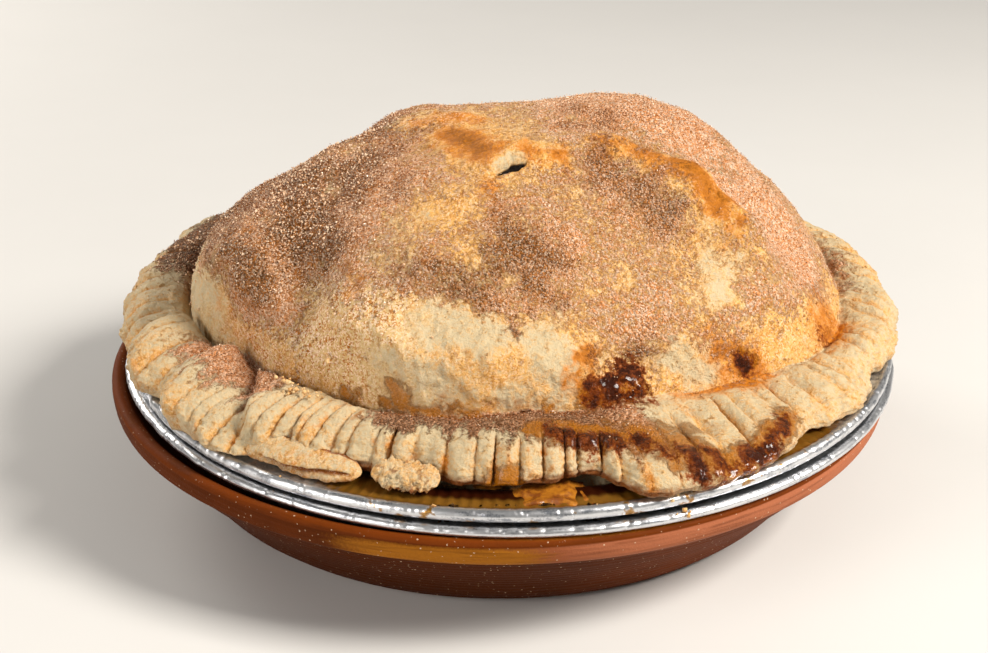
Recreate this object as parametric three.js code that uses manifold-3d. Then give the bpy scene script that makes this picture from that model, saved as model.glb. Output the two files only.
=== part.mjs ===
// A heaped apple pie, still in its foil tin. The tin stands in a second foil tin, and both stand in a
// shallow clay dish. Millimetres, +Z up, the middle of the dish's underside at the origin.
import * as THREE from 'three';
import { mergeVertices } from 'three/addons/utils/BufferGeometryUtils.js';
import Module from 'manifold-3d';

const wasm = await Module();
wasm.setup();

// Where the tins and the pie stand in the dish: they lean a little, with their right side raised, about a
// point in the middle of the pie
const PIE_PLACE = [5.6, -2, 0];
const LEAN_CENTRE = [-7.2, 0, 45.7];
const LEAN = 0.729;
const TWIST = 0.329;
const INNER_TIN_X = -0.6;
const OUTER_TIN_PLACE = [5.1, -2, 0];
const OUTER_TIN_LEAN = 0.35;

// Tins: pressed foil with a sloping side, a flat flange and a rolled rim
const FOIL = 0.5;
const TIN_FLOOR_R = 91;
const TIN_SIDE_R = 92.5;
const TIN_SIDE_Z = 9.5;
const TIN_SIDE_SLOPE = 0.472;
const TIN_FLANGE_R = 109.5;
const RIM_BEAD_HALF_WIDTH = 1.9;
const INNER_TIN = { floorZ: 7.6, rimR: 120.9, rimZ: 44, beadHalfHeight: 1.9, wider: 0 };
const OUTER_TIN = { floorZ: 6.2, rimR: 122, rimZ: 39.6, beadHalfHeight: 1.5, wider: 1.9 };
const ROUND_SEGMENTS = 48;

// The outer tin's rim is bent outward at the left: middle and reach of the bend in degrees, and its size
const RIM_BEND = { middle: 178, reach: 17, size: 3.8 };

// Pie filling under the crust, down inside the inner tin
const TIN_CLEARANCE = 0.7;
const PIE_FLOOR_Z = INNER_TIN.floorZ + FOIL + 0.4;
const PIE_FLOOR_INSET = 2;
const FILLING_RINGS = [1.3, 1.55, 1.8, 2];
const FILLING_LOW_Z = 20;
const FILLING_POINTS = 108;
const FLOOR_POINTS = 90;

// Dome of the top crust
const DOME_TOP_Z = 113.6;
const SWELL_CENTRE = [0, 0, 20];
const DOME_RING_STEP = 5.35;
const DOME_SIZE = 102;
const DOME_CROWDING = 1.35;

// Compass angle, then how full the dome's section is: a higher first value keeps the top flatter and a
// lower second value makes the side steeper
const DOME_SECTIONS = [
  [0, 2.46, 0.82],
  [50, 2.84, 0.76],
  [90, 2.34, 0.68],
  [140, 2.62, 0.72],
  [180, 1.53, 0.39],
  [215, 2.0, 0.42],
  [245, 2.2, 0.5],
  [270, 2.1, 0.62],
  [300, 2.3, 0.8],
  [330, 2.6, 0.85],
];

// Swells and hollows of the crust over the apples, each round a line: start point, end point, reach and
// height (below zero for a hollow)
const SWELLS = [
  [[45, 22, 113], [45, 22, 113], 20, 6.4],
  [[-4, -5, 114], [24, -5, 114], 25, 1.8],
  [[26, -15, 115], [54, -22, 107], 5.5, 3.4],
  [[54, -22, 107], [67, -31, 88], 5.5, 4.6],
  [[67, -31, 88], [74, -40, 72], 6, 3.4],
  [[60, -2, 108], [84, -16, 86], 8, -3],
  [[30, -32, 107], [52, -42, 88], 10, -4.2],
  [[84, 10, 88], [84, 10, 88], 12, 2.5],
  [[-24, 15, 112], [-56, 0, 106], 8, 2.4],
  [[-56, -2, 106], [-84, -22, 88], 8, 2.8],
  [[-92, -24, 74], [-88, -36, 70], 11, 5.5],
  [[-62, -50, 88], [-72, -72, 62], 7, -6],
  [[-44, -74, 76], [-44, -74, 76], 12, 4],
  [[-32, -86, 66], [14, -88, 66], 9, 4.5],
  [[-20, -77, 84], [20, -74, 84], 8, -2.2],
  [[22, -86, 58], [33, -74, 64], 6, -5],
  [[48, -60, 74], [56, -54, 72], 10, 3],
  [[-7.5, -27, 113], [2.5, -20, 114], 3.8, 2.2],
  [[-77, -35, 90], [-76, -34, 91], 3.4, 2.8],
  [[-81, -38, 84], [-81, -38, 84], 5, 2],
  [[-90, -34.5, 81], [-92.5, -33.5, 62], 3.2, -2.4],
  [[-70, -37, 90], [-67, -45, 84], 4.5, -2.2],
  [[-40, 30, 108], [-40, 30, 108], 10, 2.3],
  [[-58, 30, 98], [-58, 30, 98], 10, -3],
  [[60, 24, 106], [60, 24, 106], 9, 0.8],
];

// The crust's rim at compass angles: radius and height of the crease at the dome's foot, of the rim's
// crest, and of its outer edge
const RIM = [
  [0, 106, 55, 114, 56.5, 124.6, 51.5],
  [14, 109, 56, 115, 58, 126, 53],
  [26, 112, 57, 117, 59, 127.5, 54],
  [45, 108, 56, 115, 58, 124, 52],
  [70, 102, 56, 111, 59, 121, 51],
  [95, 100, 56, 110, 60, 121, 51],
  [120, 101, 56, 112, 60, 124, 52],
  [140, 103, 56, 115, 61, 128, 54],
  [152, 104, 57, 118, 62, 132, 56],
  [164, 106, 56, 117, 61, 131, 54],
  [176, 107, 53, 115, 58, 130, 51],
  [186, 105, 52, 113, 57.5, 128, 50.5],
  [191.5, 103, 53, 111, 57.5, 125, 50],
  [198, 100, 53.5, 108, 57.5, 126.2, 50],
  [204, 95, 54, 106, 57.5, 124.5, 50],
  [208, 93.5, 54, 105, 57, 121, 50],
  [213, 92.5, 54, 104, 57, 124.6, 50],
  [220, 92, 54, 103, 57, 124.4, 50],
  [226, 92, 54, 101, 56.5, 123.6, 50],
  [230, 91.5, 54, 99, 56.2, 119, 50],
  [234, 91, 54, 97, 56.4, 112.2, 50],
  [240, 91, 54.5, 97, 57, 112, 50],
  [248, 91.5, 55.5, 98, 58.5, 110.5, 50],
  [256, 89.5, 56.5, 98, 59.5, 110, 50.3],
  [264, 88, 57, 98.5, 60, 112.5, 51],
  [270, 86, 57, 98, 60, 113.5, 51.6],
  [276, 84.5, 57, 98, 59.5, 111, 51.8],
  [281, 83.5, 56.5, 98.5, 58.5, 110.5, 51.5],
  [284, 83.5, 56, 100, 57.5, 117, 50.6],
  [287, 83.5, 56, 101, 56.8, 123.5, 50],
  [294, 84, 55.5, 102.5, 55.8, 124.6, 50],
  [301, 84.5, 55, 103.5, 55.3, 123.8, 50],
  [308, 86.5, 54.5, 102.5, 55, 120.6, 50],
  [316, 89.5, 54, 102.5, 55, 116.6, 50],
  [321, 92.5, 54, 103.5, 55, 119.2, 50],
  [328, 98, 54, 106, 55.3, 121.6, 50],
  [336, 101.5, 54, 108, 55.8, 117.6, 50],
  [342, 103.5, 54, 110, 56.3, 120.6, 50],
  [349, 104.5, 54.5, 111.5, 56.5, 122.8, 50.5],
];
const RIM_LIP = 3;
const RIM_UNDERSIDE_Z = 46.9;

// Folds of the rim that lap over one another: compass angle of the raised end at the edge and at the
// crease, where the fold dies out, and its rise
const FOLDS = [
  [146, 150, 172, 1.5],
  [167, 172, 190, 2.6],
  [193, 190, 208, 5.2],
  [209.5, 206, 222, 5.2],
  [231, 211.5, 256, 3.6],
];

// Half width in degrees of the step where a fold begins, and how far its far end sags under the next one,
// as a share of its rise
const FOLD_STEP = 0.9;
const FOLD_SAG = 0.25;

// Crimp grooves: spacing in degrees at compass angles, and how far they lean round the pie from crease to
// edge
const GROOVE_SPACING = [
  [0, 4.2],
  [90, 4.9],
  [180, 3.9],
  [205, 3.7],
  [219, 2.8],
  [240, 2.6],
  [252, 4.0],
  [262, 3.8],
  [275, 3.0],
  [285, 3.2],
  [305, 4.3],
];
const GROOVE_LEAN = [
  [0, 5.5],
  [40, 2],
  [130, 0],
  [175, -2.5],
  [215, -3],
  [240, 0],
  [280, 1],
  [300, 5.5],
  [330, 5.5],
];
// Uneven width of the grooves, as a share of one groove
const GROOVE_JITTER = 0.5;
const GROOVE_DEPTH = 2.1;
const FRONT_GROOVE_DEPTH = 3.0;
const GROOVE_POINTS = [0, 0.2, 0.8];
const RIM_STEPS = [0, 0.14, 0.3, 0.45, 0.6, 0.74, 0.87, 1, 1.12];

// Vent: a short slit in the top, its two ends and its greatest width
const VENT_ENDS = [[-6.3, -32], [3.6, -25.1]];
const VENT_WIDTH = 3.4;
const VENT_FLOOR_Z = 104;

// Torn strip of lower crust that hangs out over the tin at the left, and a broken flake beside it
const STRIP = { from: 224, to: 247, r: [115.2, 114.2], z: [50.2, 48.9], width: 10.5, thick: 4.4 };
const FLAKE = { from: 248.5, to: 258.5, r: [113.4, 113.2], z: [50.2, 49.9], width: 10, thick: 4.2 };
const STRIP_SLOPE = 0.5;
const STRIP_UNEVEN = 0.35;
const STRIP_RINGS = 10;
const STRIP_TURNS = 10;

// Clay dish
const DISH_INSIDE = [[0, 5.2], [97.5, 5.2], [100.5, 8], [103, 12], [112.4, 22], [118.5, 30.5], [123, 37.4]];
const DISH_LIP = [[125.2, 38.2], [126.8, 37.5], [127.4, 35.8]];
const DISH_COLLAR = [[127.1, 31.5], [125.5, 29.6], [123.2, 29]];
const DISH_OUTSIDE = [[117.4, 22], [107.6, 12], [101.8, 4.5], [97.5, 1.2]];
const DISH_FOOT_R = 94;

const TURN = 2 * Math.PI;
const radians = (deg) => deg * TURN / 360;
const clamp = (x) => Math.min(1, Math.max(0, x));
const mix = (a, b, t) => a + (b - a) * t;

function ease(from, to, x) {
  const t = clamp((x - from) / (to - from));
  return t * t * (3 - 2 * t);
}

// A repeatable number from 0 to 1 for each whole n
function scatter(n) {
  const s = Math.sin(n * 12.9898) * 43758.5453;
  return s - Math.floor(s);
}

// Value of one column of a table of compass angles, on a smooth closed curve through its rows
function around(deg, table, column) {
  const count = table.length;
  const d = ((deg % 360) + 360) % 360;
  let row = count - 1;
  while (row > 0 && table[row][0] > d) {
    row -= 1;
  }
  const angle = (i) => table[(i + count) % count][0] + 360 * Math.floor(i / count);
  const value = (i) => table[(i + count) % count][column];
  const span = angle(row + 1) - angle(row);
  const t = (d - angle(row)) / span;
  const slopeHere = (value(row + 1) - value(row - 1)) / (angle(row + 1) - angle(row - 1));
  const slopeNext = (value(row + 2) - value(row)) / (angle(row + 2) - angle(row));
  const t2 = t * t;
  const t3 = t2 * t;
  return (2 * t3 - 3 * t2 + 1) * value(row) + (t3 - 2 * t2 + t) * span * slopeHere
    + (3 * t2 - 2 * t3) * value(row + 1) + (t3 - t2) * span * slopeNext;
}

// Soft unevenness: crossed waves about one step long
function uneven(x, y, z, step, seed) {
  let sum = 0;
  for (let i = 0; i < 7; i += 1) {
    const turn = TURN * scatter(seed + 3.1 * i);
    const up = 2 * scatter(seed + 5.7 * i + 1) - 1;
    const flat = Math.sqrt(1 - up * up);
    const dx = flat * Math.cos(turn);
    const dy = flat * Math.sin(turn);
    const rate = TURN / step * (0.7 + 0.7 * scatter(seed + 7.3 * i + 2));
    const start = TURN * scatter(seed + 9.1 * i + 3);
    const bend = 0.9 * Math.sin(0.6 * rate * (dy * x - dx * y) + 2 * start);
    sum += Math.sin(rate * (dx * x + dy * y + up * z) + start + bend);
  }
  return sum / 3.2;
}

function distanceToLine(point, start, end) {
  const from = new THREE.Vector3(...start);
  const along = new THREE.Vector3(...end).sub(from);
  const offset = point.clone().sub(from);
  const share = clamp(offset.dot(along) / Math.max(along.lengthSq(), 1e-6));
  return offset.addScaledVector(along, -share).length();
}

// Rise of the crust at a point from all the swells and hollows
function swellHeight(point) {
  return SWELLS.reduce((height, [start, end, reach, rise]) => (
    height + rise * Math.exp(-0.5 * (distanceToLine(point, start, end) / reach) ** 2)), 0);
}

function roughen(point, amount) {
  const { x, y, z } = point;
  const rise = 0.9 * uneven(x, y, z, 34, 3) + 0.35 * uneven(x, y, z, 13, 5);
  return new THREE.Vector3(x, y, z + amount * rise);
}

// A point of the dome: compass angle and share of the way from the middle to the crease
function domePoint(deg, share) {
  const creaseR = around(deg, RIM, 1);
  const creaseZ = around(deg, RIM, 2);
  const full = around(deg, DOME_SECTIONS, 1);
  const steep = around(deg, DOME_SECTIONS, 2);
  const r = share * creaseR;
  const z = creaseZ + (DOME_TOP_Z - creaseZ) * Math.max(0, 1 - share ** full) ** steep;
  const point = new THREE.Vector3(r * Math.cos(radians(deg)), r * Math.sin(radians(deg)), z);
  const outward = point.clone().sub(new THREE.Vector3(...SWELL_CENTRE)).normalize();
  const fade = 1 - ease(0.93, 1, share);
  point.addScaledVector(outward, swellHeight(point) * fade);
  return roughen(point, 1);
}

// Rise of the lapping folds at a compass angle, across the rim from crease (0) to edge (1)
function foldRise(deg, across) {
  const d = ((deg % 360) + 360) % 360;
  const v = clamp(across);
  let rise = 0;
  FOLDS.forEach(([edgeAngle, creaseAngle, lastAngle, height], i) => {
    const start = mix(creaseAngle, edgeAngle, v);
    const next = FOLDS[i + 1];
    const end = next ? mix(next[1], next[0], v) : lastAngle;
    const t = (d - start) / Math.max(end - start, 1);
    const fall = (next ? 1 + FOLD_SAG : 1) * ease(0.15, 1, t);
    const shape = ease(-FOLD_STEP, FOLD_STEP, d - start) * (1 - ease(-FOLD_STEP, FOLD_STEP, d - end));
    rise += height * shape * (1 + 0.25 * Math.sin(Math.PI * clamp(2.2 * t)) - fall);
  });
  return rise;
}

// Angles of all the grooves round the pie, spaced by the table
function grooveAngles() {
  const passed = [0];
  for (let deg = 0; deg < 360; deg += 1) {
    passed.push(passed[deg] + 1 / around(deg + 0.5, GROOVE_SPACING, 1));
  }
  const total = Math.round(passed[360]);
  const scale = total / passed[360];
  const angleAt = (count) => {
    let deg = 0;
    while (deg < 359 && passed[deg + 1] * scale <= count) {
      deg += 1;
    }
    return deg + (count - passed[deg] * scale) / ((passed[deg + 1] - passed[deg]) * scale);
  };
  const shiftAt = (groove) => (groove % total === 0 ? 0 : GROOVE_JITTER * (scatter(groove + 40) - 0.5));
  const columnAt = (groove, within) => (
    angleAt(groove + within + mix(shiftAt(groove), shiftAt(groove + 1), within)));
  return { total, columnAt };
}

// How much of each kind of rim there is at an angle; where it is early, the grooves start near the crease
const isEarly = (d) => ease(206, 216, d) * (1 - ease(236, 248, d));
const isFront = (d) => ease(222, 235, d) * (1 - ease(278, 292, d));
const isBack = (d) => ease(30, 60, d) * (1 - ease(120, 150, d));
const isFlat = (d) => ease(288, 305, d) + (d < 40 ? 1 : 0);

// Control points of the rim's section, from inside the crease, over the crest and lip, to the tin's side
function rimSection(deg) {
  const [creaseR, creaseZ, crestR, crestZ, edgeR, edgeZ] = [1, 2, 3, 4, 5, 6].map((c) => around(deg, RIM, c));
  return [
    [creaseR - 2, creaseZ + 4],
    [creaseR, creaseZ],
    [mix(creaseR, crestR, 0.45), mix(creaseZ, crestZ, 0.7)],
    [crestR, crestZ],
    [mix(crestR, edgeR, 0.6), mix(edgeZ, crestZ, 0.8)],
    [edgeR, edgeZ],
    [edgeR - 0.6, edgeZ - RIM_LIP],
    [edgeR - 5, Math.max(edgeZ - RIM_LIP - 0.6, RIM_UNDERSIDE_Z)],
    [Math.min(edgeR - 9, 105.5), RIM_UNDERSIDE_Z - 0.7],
    [tinSideR(37) - TIN_CLEARANCE, 37],
    [tinSideR(FILLING_LOW_Z) - TIN_CLEARANCE, FILLING_LOW_Z],
  ];
}

// Inner face of the inner tin at a height
function tinSideR(z) {
  return TIN_SIDE_R + (z - TIN_SIDE_Z) * TIN_SIDE_SLOPE - FOIL;
}

// A smooth curve through control points; whole values of t fall on them
function curveAt(points, t) {
  const i = Math.min(Math.floor(t), points.length - 3);
  const f = t - i;
  return [0, 1].map((axis) => {
    const [a, b, c, d] = [-1, 0, 1, 2].map((k) => points[i + k][axis]);
    const bend = (2 * a - 5 * b + 4 * c - d) * f * f + (3 * b - a - 3 * c + d) * f ** 3;
    return 0.5 * (2 * b + (c - a) * f + bend);
  });
}

// A point of the rim: the column's angle, its place within a groove's span, its groove, and the place
// across the rim, from crease (0) over the edge (1) to the side of the tin (2)
function rimPoint(columnDeg, within, groove, across) {
  const lean = around(columnDeg, GROOVE_LEAN, 1);
  const deg = columnDeg - lean * (Math.min(across, 1.2) - 0.6);
  const d = ((deg % 360) + 360) % 360;
  let [r, z] = curveAt(rimSection(deg), 1 + 4 * across);
  const rise = foldRise(deg, across);
  z += 0.9 * rise * ease(0, 0.25, across) * (1 - ease(1, 1.3, across));
  r += 0.15 * rise * ease(0.5, 1, across) * (1 - ease(1.1, 1.6, across));
  const front = isFront(d);
  const flat = isFlat(d);
  const sharp = mix(0.42, 0.3, clamp(flat));
  const cut = (1 - (4 * within * (1 - within)) ** sharp) * (0.3 + 0.95 * scatter(groove));
  const early = isEarly(d);
  const start = 0.3 + 0.2 * front - 0.25 * flat - 0.3 * early;
  const begins = ease(start, start + 0.3 - 0.05 * front + 0.1 * flat, across);
  const ends = 1 - clamp(flat) * ease(0.74, 0.94, across);
  const depth = mix(GROOVE_DEPTH, FRONT_GROOVE_DEPTH, front) * (1 - 0.25 * flat) * (1 - 0.4 * isBack(d));
  const groovePart = cut * begins * ends * (1 - ease(1.12, 1.3, across)) * depth;
  z -= groovePart * (1 - 0.55 * ease(0.6, 1, across)) * (1 - ease(1, 1.12, across));
  r -= groovePart * (0.3 + 0.9 * ease(0.5, 0.9, across)) * (1 - 0.3 * flat);
  const a = radians(columnDeg);
  const ragged = 0.5 * Math.sin(29 * a + 1) + 0.4 * Math.sin(47 * a + 2) + 0.3 * Math.sin(83 * a);
  r += ragged * ease(0.7, 1, across) * (1 - ease(1.3, 1.7, across));
  const shift = INNER_TIN_X * ease(1.1, 1.6, across);
  const point = new THREE.Vector3(shift + r * Math.cos(radians(deg)), r * Math.sin(radians(deg)), z);
  return { point: roughen(point, 1 - ease(0.9, 1.3, across)), deg };
}

// Closed surface from rings of points, joined ring to ring whatever their counts
class RingSurface {
  constructor() {
    this.positions = [];
    this.indices = [];
  }

  addPoint(point) {
    this.positions.push(point.x, point.y, point.z);
    return this.positions.length / 3 - 1;
  }

  addRing(entries) {
    return entries.map(({ point, deg }) => ({ index: this.addPoint(point), deg }));
  }

  // Joins an inner or upper ring to the next one out or down
  join(upper, lower) {
    let i = 0;
    let j = 0;
    const at = (ring, k) => ring[k % ring.length];
    const angle = (ring, k) => at(ring, k).deg + 360 * Math.floor(k / ring.length);
    while (i < upper.length || j < lower.length) {
      const stepUpper = j >= lower.length
        || (i < upper.length && angle(upper, i + 1) <= angle(lower, j + 1));
      if (stepUpper) {
        this.indices.push(at(upper, i).index, at(lower, j).index, at(upper, i + 1).index);
        i += 1;
      } else {
        this.indices.push(at(upper, i).index, at(lower, j).index, at(lower, j + 1).index);
        j += 1;
      }
    }
  }

  // Closes a ring with a fan to one point, seen from above or from below
  close(ring, point, above) {
    const middle = this.addPoint(point);
    ring.forEach(({ index }, i) => {
      const next = ring[(i + 1) % ring.length].index;
      this.indices.push(...(above ? [middle, index, next] : [middle, next, index]));
    });
  }

  geometry() {
    const geometry = new THREE.BufferGeometry();
    geometry.setAttribute('position', new THREE.Float32BufferAttribute(this.positions, 3));
    geometry.setIndex(this.indices);
    return geometry;
  }
}

const evenAngles = (count) => Array.from({ length: count }, (_, i) => 360 * i / count);

// The crust's dome and rim and the filling's sides and floor, as one closed surface
function pieGeometry() {
  const surface = new RingSurface();
  const domeRings = Math.round(DOME_SIZE / DOME_RING_STEP);
  let ring = null;
  for (let i = 1; i < domeRings; i += 1) {
    const share = 1 - (1 - i / domeRings) ** DOME_CROWDING;
    const count = Math.max(10, Math.round(TURN * DOME_SIZE * share / DOME_RING_STEP));
    const next = surface.addRing(evenAngles(count).map((deg) => ({ point: domePoint(deg, share), deg })));
    if (ring) {
      surface.join(ring, next);
    } else {
      const heights = next.map(({ index }) => surface.positions[3 * index + 2]);
      const top = heights.reduce((sum, z) => sum + z, 0) / heights.length;
      surface.close(next, new THREE.Vector3(0, 0, top), true);
    }
    ring = next;
  }
  const grooves = grooveAngles();
  for (const across of RIM_STEPS) {
    const entries = [];
    for (let groove = 0; groove < grooves.total; groove += 1) {
      for (const within of GROOVE_POINTS) {
        entries.push(rimPoint(grooves.columnAt(groove, within), within, groove, across));
      }
    }
    const next = surface.addRing(entries);
    surface.join(ring, next);
    ring = next;
  }
  for (const across of FILLING_RINGS) {
    const next = surface.addRing(evenAngles(FILLING_POINTS).map((deg) => rimPoint(deg, 0.5, 0, across)));
    surface.join(ring, next);
    ring = next;
  }
  for (const [z, inset] of [[FILLING_LOW_Z, 0], [PIE_FLOOR_Z, PIE_FLOOR_INSET]]) {
    const r = tinSideR(z) - TIN_CLEARANCE - inset;
    const entries = evenAngles(FLOOR_POINTS).map((deg) => {
      const a = radians(deg);
      return { point: new THREE.Vector3(INNER_TIN_X + r * Math.cos(a), r * Math.sin(a), z), deg };
    });
    const next = surface.addRing(entries);
    surface.join(ring, next);
    ring = next;
  }
  surface.close(ring, new THREE.Vector3(0, 0, PIE_FLOOR_Z), false);
  return surface.geometry();
}

// A bent, lumpy strip of crust, thickest in the middle and tapering at both ends
function stripGeometry(strip, seed) {
  const surface = new RingSurface();
  let ring = null;
  for (let i = 0; i <= STRIP_RINGS; i += 1) {
    const along = i / STRIP_RINGS;
    const taper = Math.sqrt(Math.max(0.02, 1 - (2 * along - 1) ** 4));
    const deg = mix(strip.from, strip.to, along);
    const r = mix(strip.r[0], strip.r[1], along);
    const z = mix(strip.z[0], strip.z[1], along);
    const entries = evenAngles(STRIP_TURNS).map((turn, k) => {
      const wobble = 1 + STRIP_UNEVEN * (scatter(seed + 17 * i + 5 * k) - 0.5);
      const wide = 0.5 * strip.width * taper * wobble * Math.cos(radians(turn));
      const high = 0.5 * strip.thick * taper * wobble * Math.sin(radians(turn));
      const outR = r + (1 - 0.3 * STRIP_SLOPE) * wide + STRIP_SLOPE * high;
      const outZ = z - STRIP_SLOPE * wide + (1 - 0.3 * STRIP_SLOPE) * high;
      const point = new THREE.Vector3(outR * Math.cos(radians(deg)), outR * Math.sin(radians(deg)), outZ);
      return { point, deg: turn };
    });
    const next = surface.addRing(entries);
    if (ring) {
      surface.join(ring, next);
    } else {
      surface.close(next, centreOf(entries), true);
    }
    ring = next;
    if (i === STRIP_RINGS) {
      surface.close(ring, centreOf(entries), false);
    }
  }
  return surface.geometry();
}

function centreOf(entries) {
  const sum = new THREE.Vector3();
  entries.forEach(({ point }) => sum.add(point));
  return sum.divideScalar(entries.length);
}

// The slit's prism: a narrow lens in plan, from the vent's floor to above the dome
function ventGeometry() {
  const [start, end] = VENT_ENDS.map(([x, y]) => new THREE.Vector2(x, y));
  const along = end.clone().sub(start);
  const across = new THREE.Vector2(-along.y, along.x).normalize();
  const outline = [];
  const steps = 6;
  for (let side = -1; side <= 1; side += 2) {
    for (let i = 0; i < steps; i += 1) {
      const t = side < 0 ? i / steps : 1 - i / steps;
      const half = 0.5 * VENT_WIDTH * Math.sin(Math.PI * t) * side;
      outline.push(start.clone().addScaledVector(along, t).addScaledVector(across, half));
    }
  }
  const shape = new THREE.Shape(outline);
  const geometry = new THREE.ExtrudeGeometry(shape, { depth: 20, bevelEnabled: false });
  geometry.translate(0, 0, VENT_FLOOR_Z);
  return geometry;
}

function toSolid(geometry) {
  const plain = geometry.clone();
  plain.deleteAttribute('normal');
  plain.deleteAttribute('uv');
  const merged = mergeVertices(plain, 1e-4);
  return new wasm.Manifold(new wasm.Mesh({
    numProp: 3,
    vertProperties: new Float32Array(merged.attributes.position.array),
    triVerts: new Uint32Array(merged.index.array),
  }));
}

function fromSolid(solid) {
  const mesh = solid.getMesh();
  const geometry = new THREE.BufferGeometry();
  geometry.setAttribute('position', new THREE.BufferAttribute(new Float32Array(mesh.vertProperties), 3));
  geometry.setIndex(new THREE.BufferAttribute(new Uint32Array(mesh.triVerts), 1));
  geometry.computeVertexNormals();
  return geometry;
}

function turned(outline) {
  const points = outline.map(([r, z]) => new THREE.Vector2(r, z));
  const geometry = new THREE.LatheGeometry(points, ROUND_SEGMENTS);
  geometry.rotateX(Math.PI / 2);
  return geometry;
}

// Section of a tin, from the middle of its underside out, round the rolled rim and back inside
function tinOutline({ floorZ, rimR, rimZ, beadHalfHeight, wider }) {
  const bead = [[-0.4, -1], [0.55, -0.85], [1, 0], [0.6, 0.8], [-0.3, 1]];
  const flangeZ = rimZ + beadHalfHeight - FOIL - 0.3;
  const sideTopR = TIN_FLANGE_R + wider;
  return [
    [0, floorZ],
    [TIN_FLOOR_R + wider, floorZ],
    [TIN_SIDE_R + wider, TIN_SIDE_Z],
    [sideTopR - 0.7, flangeZ - 1.2],
    [sideTopR + 0.6, flangeZ],
    [rimR - 0.95 * RIM_BEAD_HALF_WIDTH, flangeZ],
    ...bead.map(([u, v]) => [rimR + u * RIM_BEAD_HALF_WIDTH, rimZ + v * beadHalfHeight]),
    [rimR - RIM_BEAD_HALF_WIDTH, flangeZ + FOIL],
    [sideTopR + 0.2, flangeZ + FOIL],
    [sideTopR - 0.7 - FOIL, flangeZ - 0.8],
    [TIN_SIDE_R + wider - FOIL, TIN_SIDE_Z + 0.3],
    [TIN_FLOOR_R + wider - 0.2, floorZ + FOIL],
    [0, floorZ + FOIL],
  ];
}

// Bends the rim of a turned tin outward over part of its round
function bendRim(geometry, { middle, reach, size }, lowZ, highZ) {
  const at = geometry.attributes.position;
  for (let i = 0; i < at.count; i += 1) {
    const deg = Math.atan2(at.getY(i), at.getX(i)) * 360 / TURN;
    const away = ((deg - middle + 540) % 360) - 180;
    const shift = size * Math.exp(-0.5 * (away / reach) ** 2) * ease(lowZ, highZ, at.getZ(i));
    at.setX(i, at.getX(i) + shift * Math.cos(radians(deg)));
    at.setY(i, at.getY(i) + shift * Math.sin(radians(deg)));
  }
}

function innerTinSolid() {
  const geometry = fromSolid(toSolid(turned(tinOutline(INNER_TIN))));
  geometry.translate(INNER_TIN_X, 0, 0);
  return settled(geometry);
}

function outerTinSolid() {
  const turnedTin = turned(tinOutline(OUTER_TIN));
  bendRim(turnedTin, RIM_BEND, TIN_SIDE_Z, OUTER_TIN.rimZ);
  const geometry = fromSolid(toSolid(turnedTin));
  geometry.rotateY(-radians(OUTER_TIN_LEAN));
  geometry.translate(...OUTER_TIN_PLACE);
  return geometry;
}

function dishOutline() {
  return [...DISH_INSIDE, ...DISH_LIP, ...DISH_COLLAR, ...DISH_OUTSIDE, [DISH_FOOT_R, 0], [0, 0]].reverse();
}

function piece(name, geometry, color, roughness, metalness) {
  const material = new THREE.MeshStandardMaterial({ color, roughness, metalness });
  const mesh = new THREE.Mesh(geometry, material);
  mesh.name = name;
  return mesh;
}

// Leans the pie or its tin and puts it in its place in the dish
function settled(geometry) {
  geometry.translate(...LEAN_CENTRE.map((c) => -c));
  geometry.rotateY(-radians(LEAN));
  geometry.rotateZ(radians(TWIST));
  geometry.translate(...LEAN_CENTRE);
  geometry.translate(...PIE_PLACE);
  return geometry;
}

function pieSolid() {
  const body = toSolid(pieGeometry());
  const withStrip = body.add(toSolid(stripGeometry(STRIP, 11)));
  const withFlake = withStrip.add(toSolid(stripGeometry(FLAKE, 57)));
  return settled(fromSolid(withFlake.subtract(toSolid(ventGeometry()))));
}

const pie = new THREE.Group();
pie.name = 'apple_pie';
pie.add(piece('pie', pieSolid(), 0xd9a866, 0.7, 0));
pie.add(piece('inner_tin', innerTinSolid(), 0xc9ccd0, 0.3, 0.9));
pie.add(piece('outer_tin', outerTinSolid(), 0xc9ccd0, 0.3, 0.9));
pie.add(piece('dish', fromSolid(toSolid(turned(dishOutline()))), 0x8c4a2c, 0.75, 0));

export default pie;
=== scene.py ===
"""Heaped apple pie in its foil tins and clay dish: fine crust, cinnamon sugar, baked juice, foil and clay."""
import math
from itertools import product

import bpy
import numpy as np
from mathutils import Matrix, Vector


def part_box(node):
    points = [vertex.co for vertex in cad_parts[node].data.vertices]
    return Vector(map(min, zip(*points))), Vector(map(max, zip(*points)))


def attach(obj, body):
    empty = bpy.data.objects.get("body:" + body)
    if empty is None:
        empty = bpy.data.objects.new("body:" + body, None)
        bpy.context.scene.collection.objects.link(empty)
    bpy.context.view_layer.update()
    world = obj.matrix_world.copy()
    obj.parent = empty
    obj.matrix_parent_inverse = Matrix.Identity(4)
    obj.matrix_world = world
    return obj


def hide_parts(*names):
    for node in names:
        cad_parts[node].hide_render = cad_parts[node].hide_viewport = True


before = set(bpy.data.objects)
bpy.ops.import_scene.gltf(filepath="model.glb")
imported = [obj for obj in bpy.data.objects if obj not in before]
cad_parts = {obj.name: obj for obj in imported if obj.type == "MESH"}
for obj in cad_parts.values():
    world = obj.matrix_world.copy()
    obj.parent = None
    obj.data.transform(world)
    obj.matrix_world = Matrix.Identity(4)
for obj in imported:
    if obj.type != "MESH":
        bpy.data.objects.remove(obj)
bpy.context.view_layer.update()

MM = 0.001
TURN = 2 * math.pi

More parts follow.
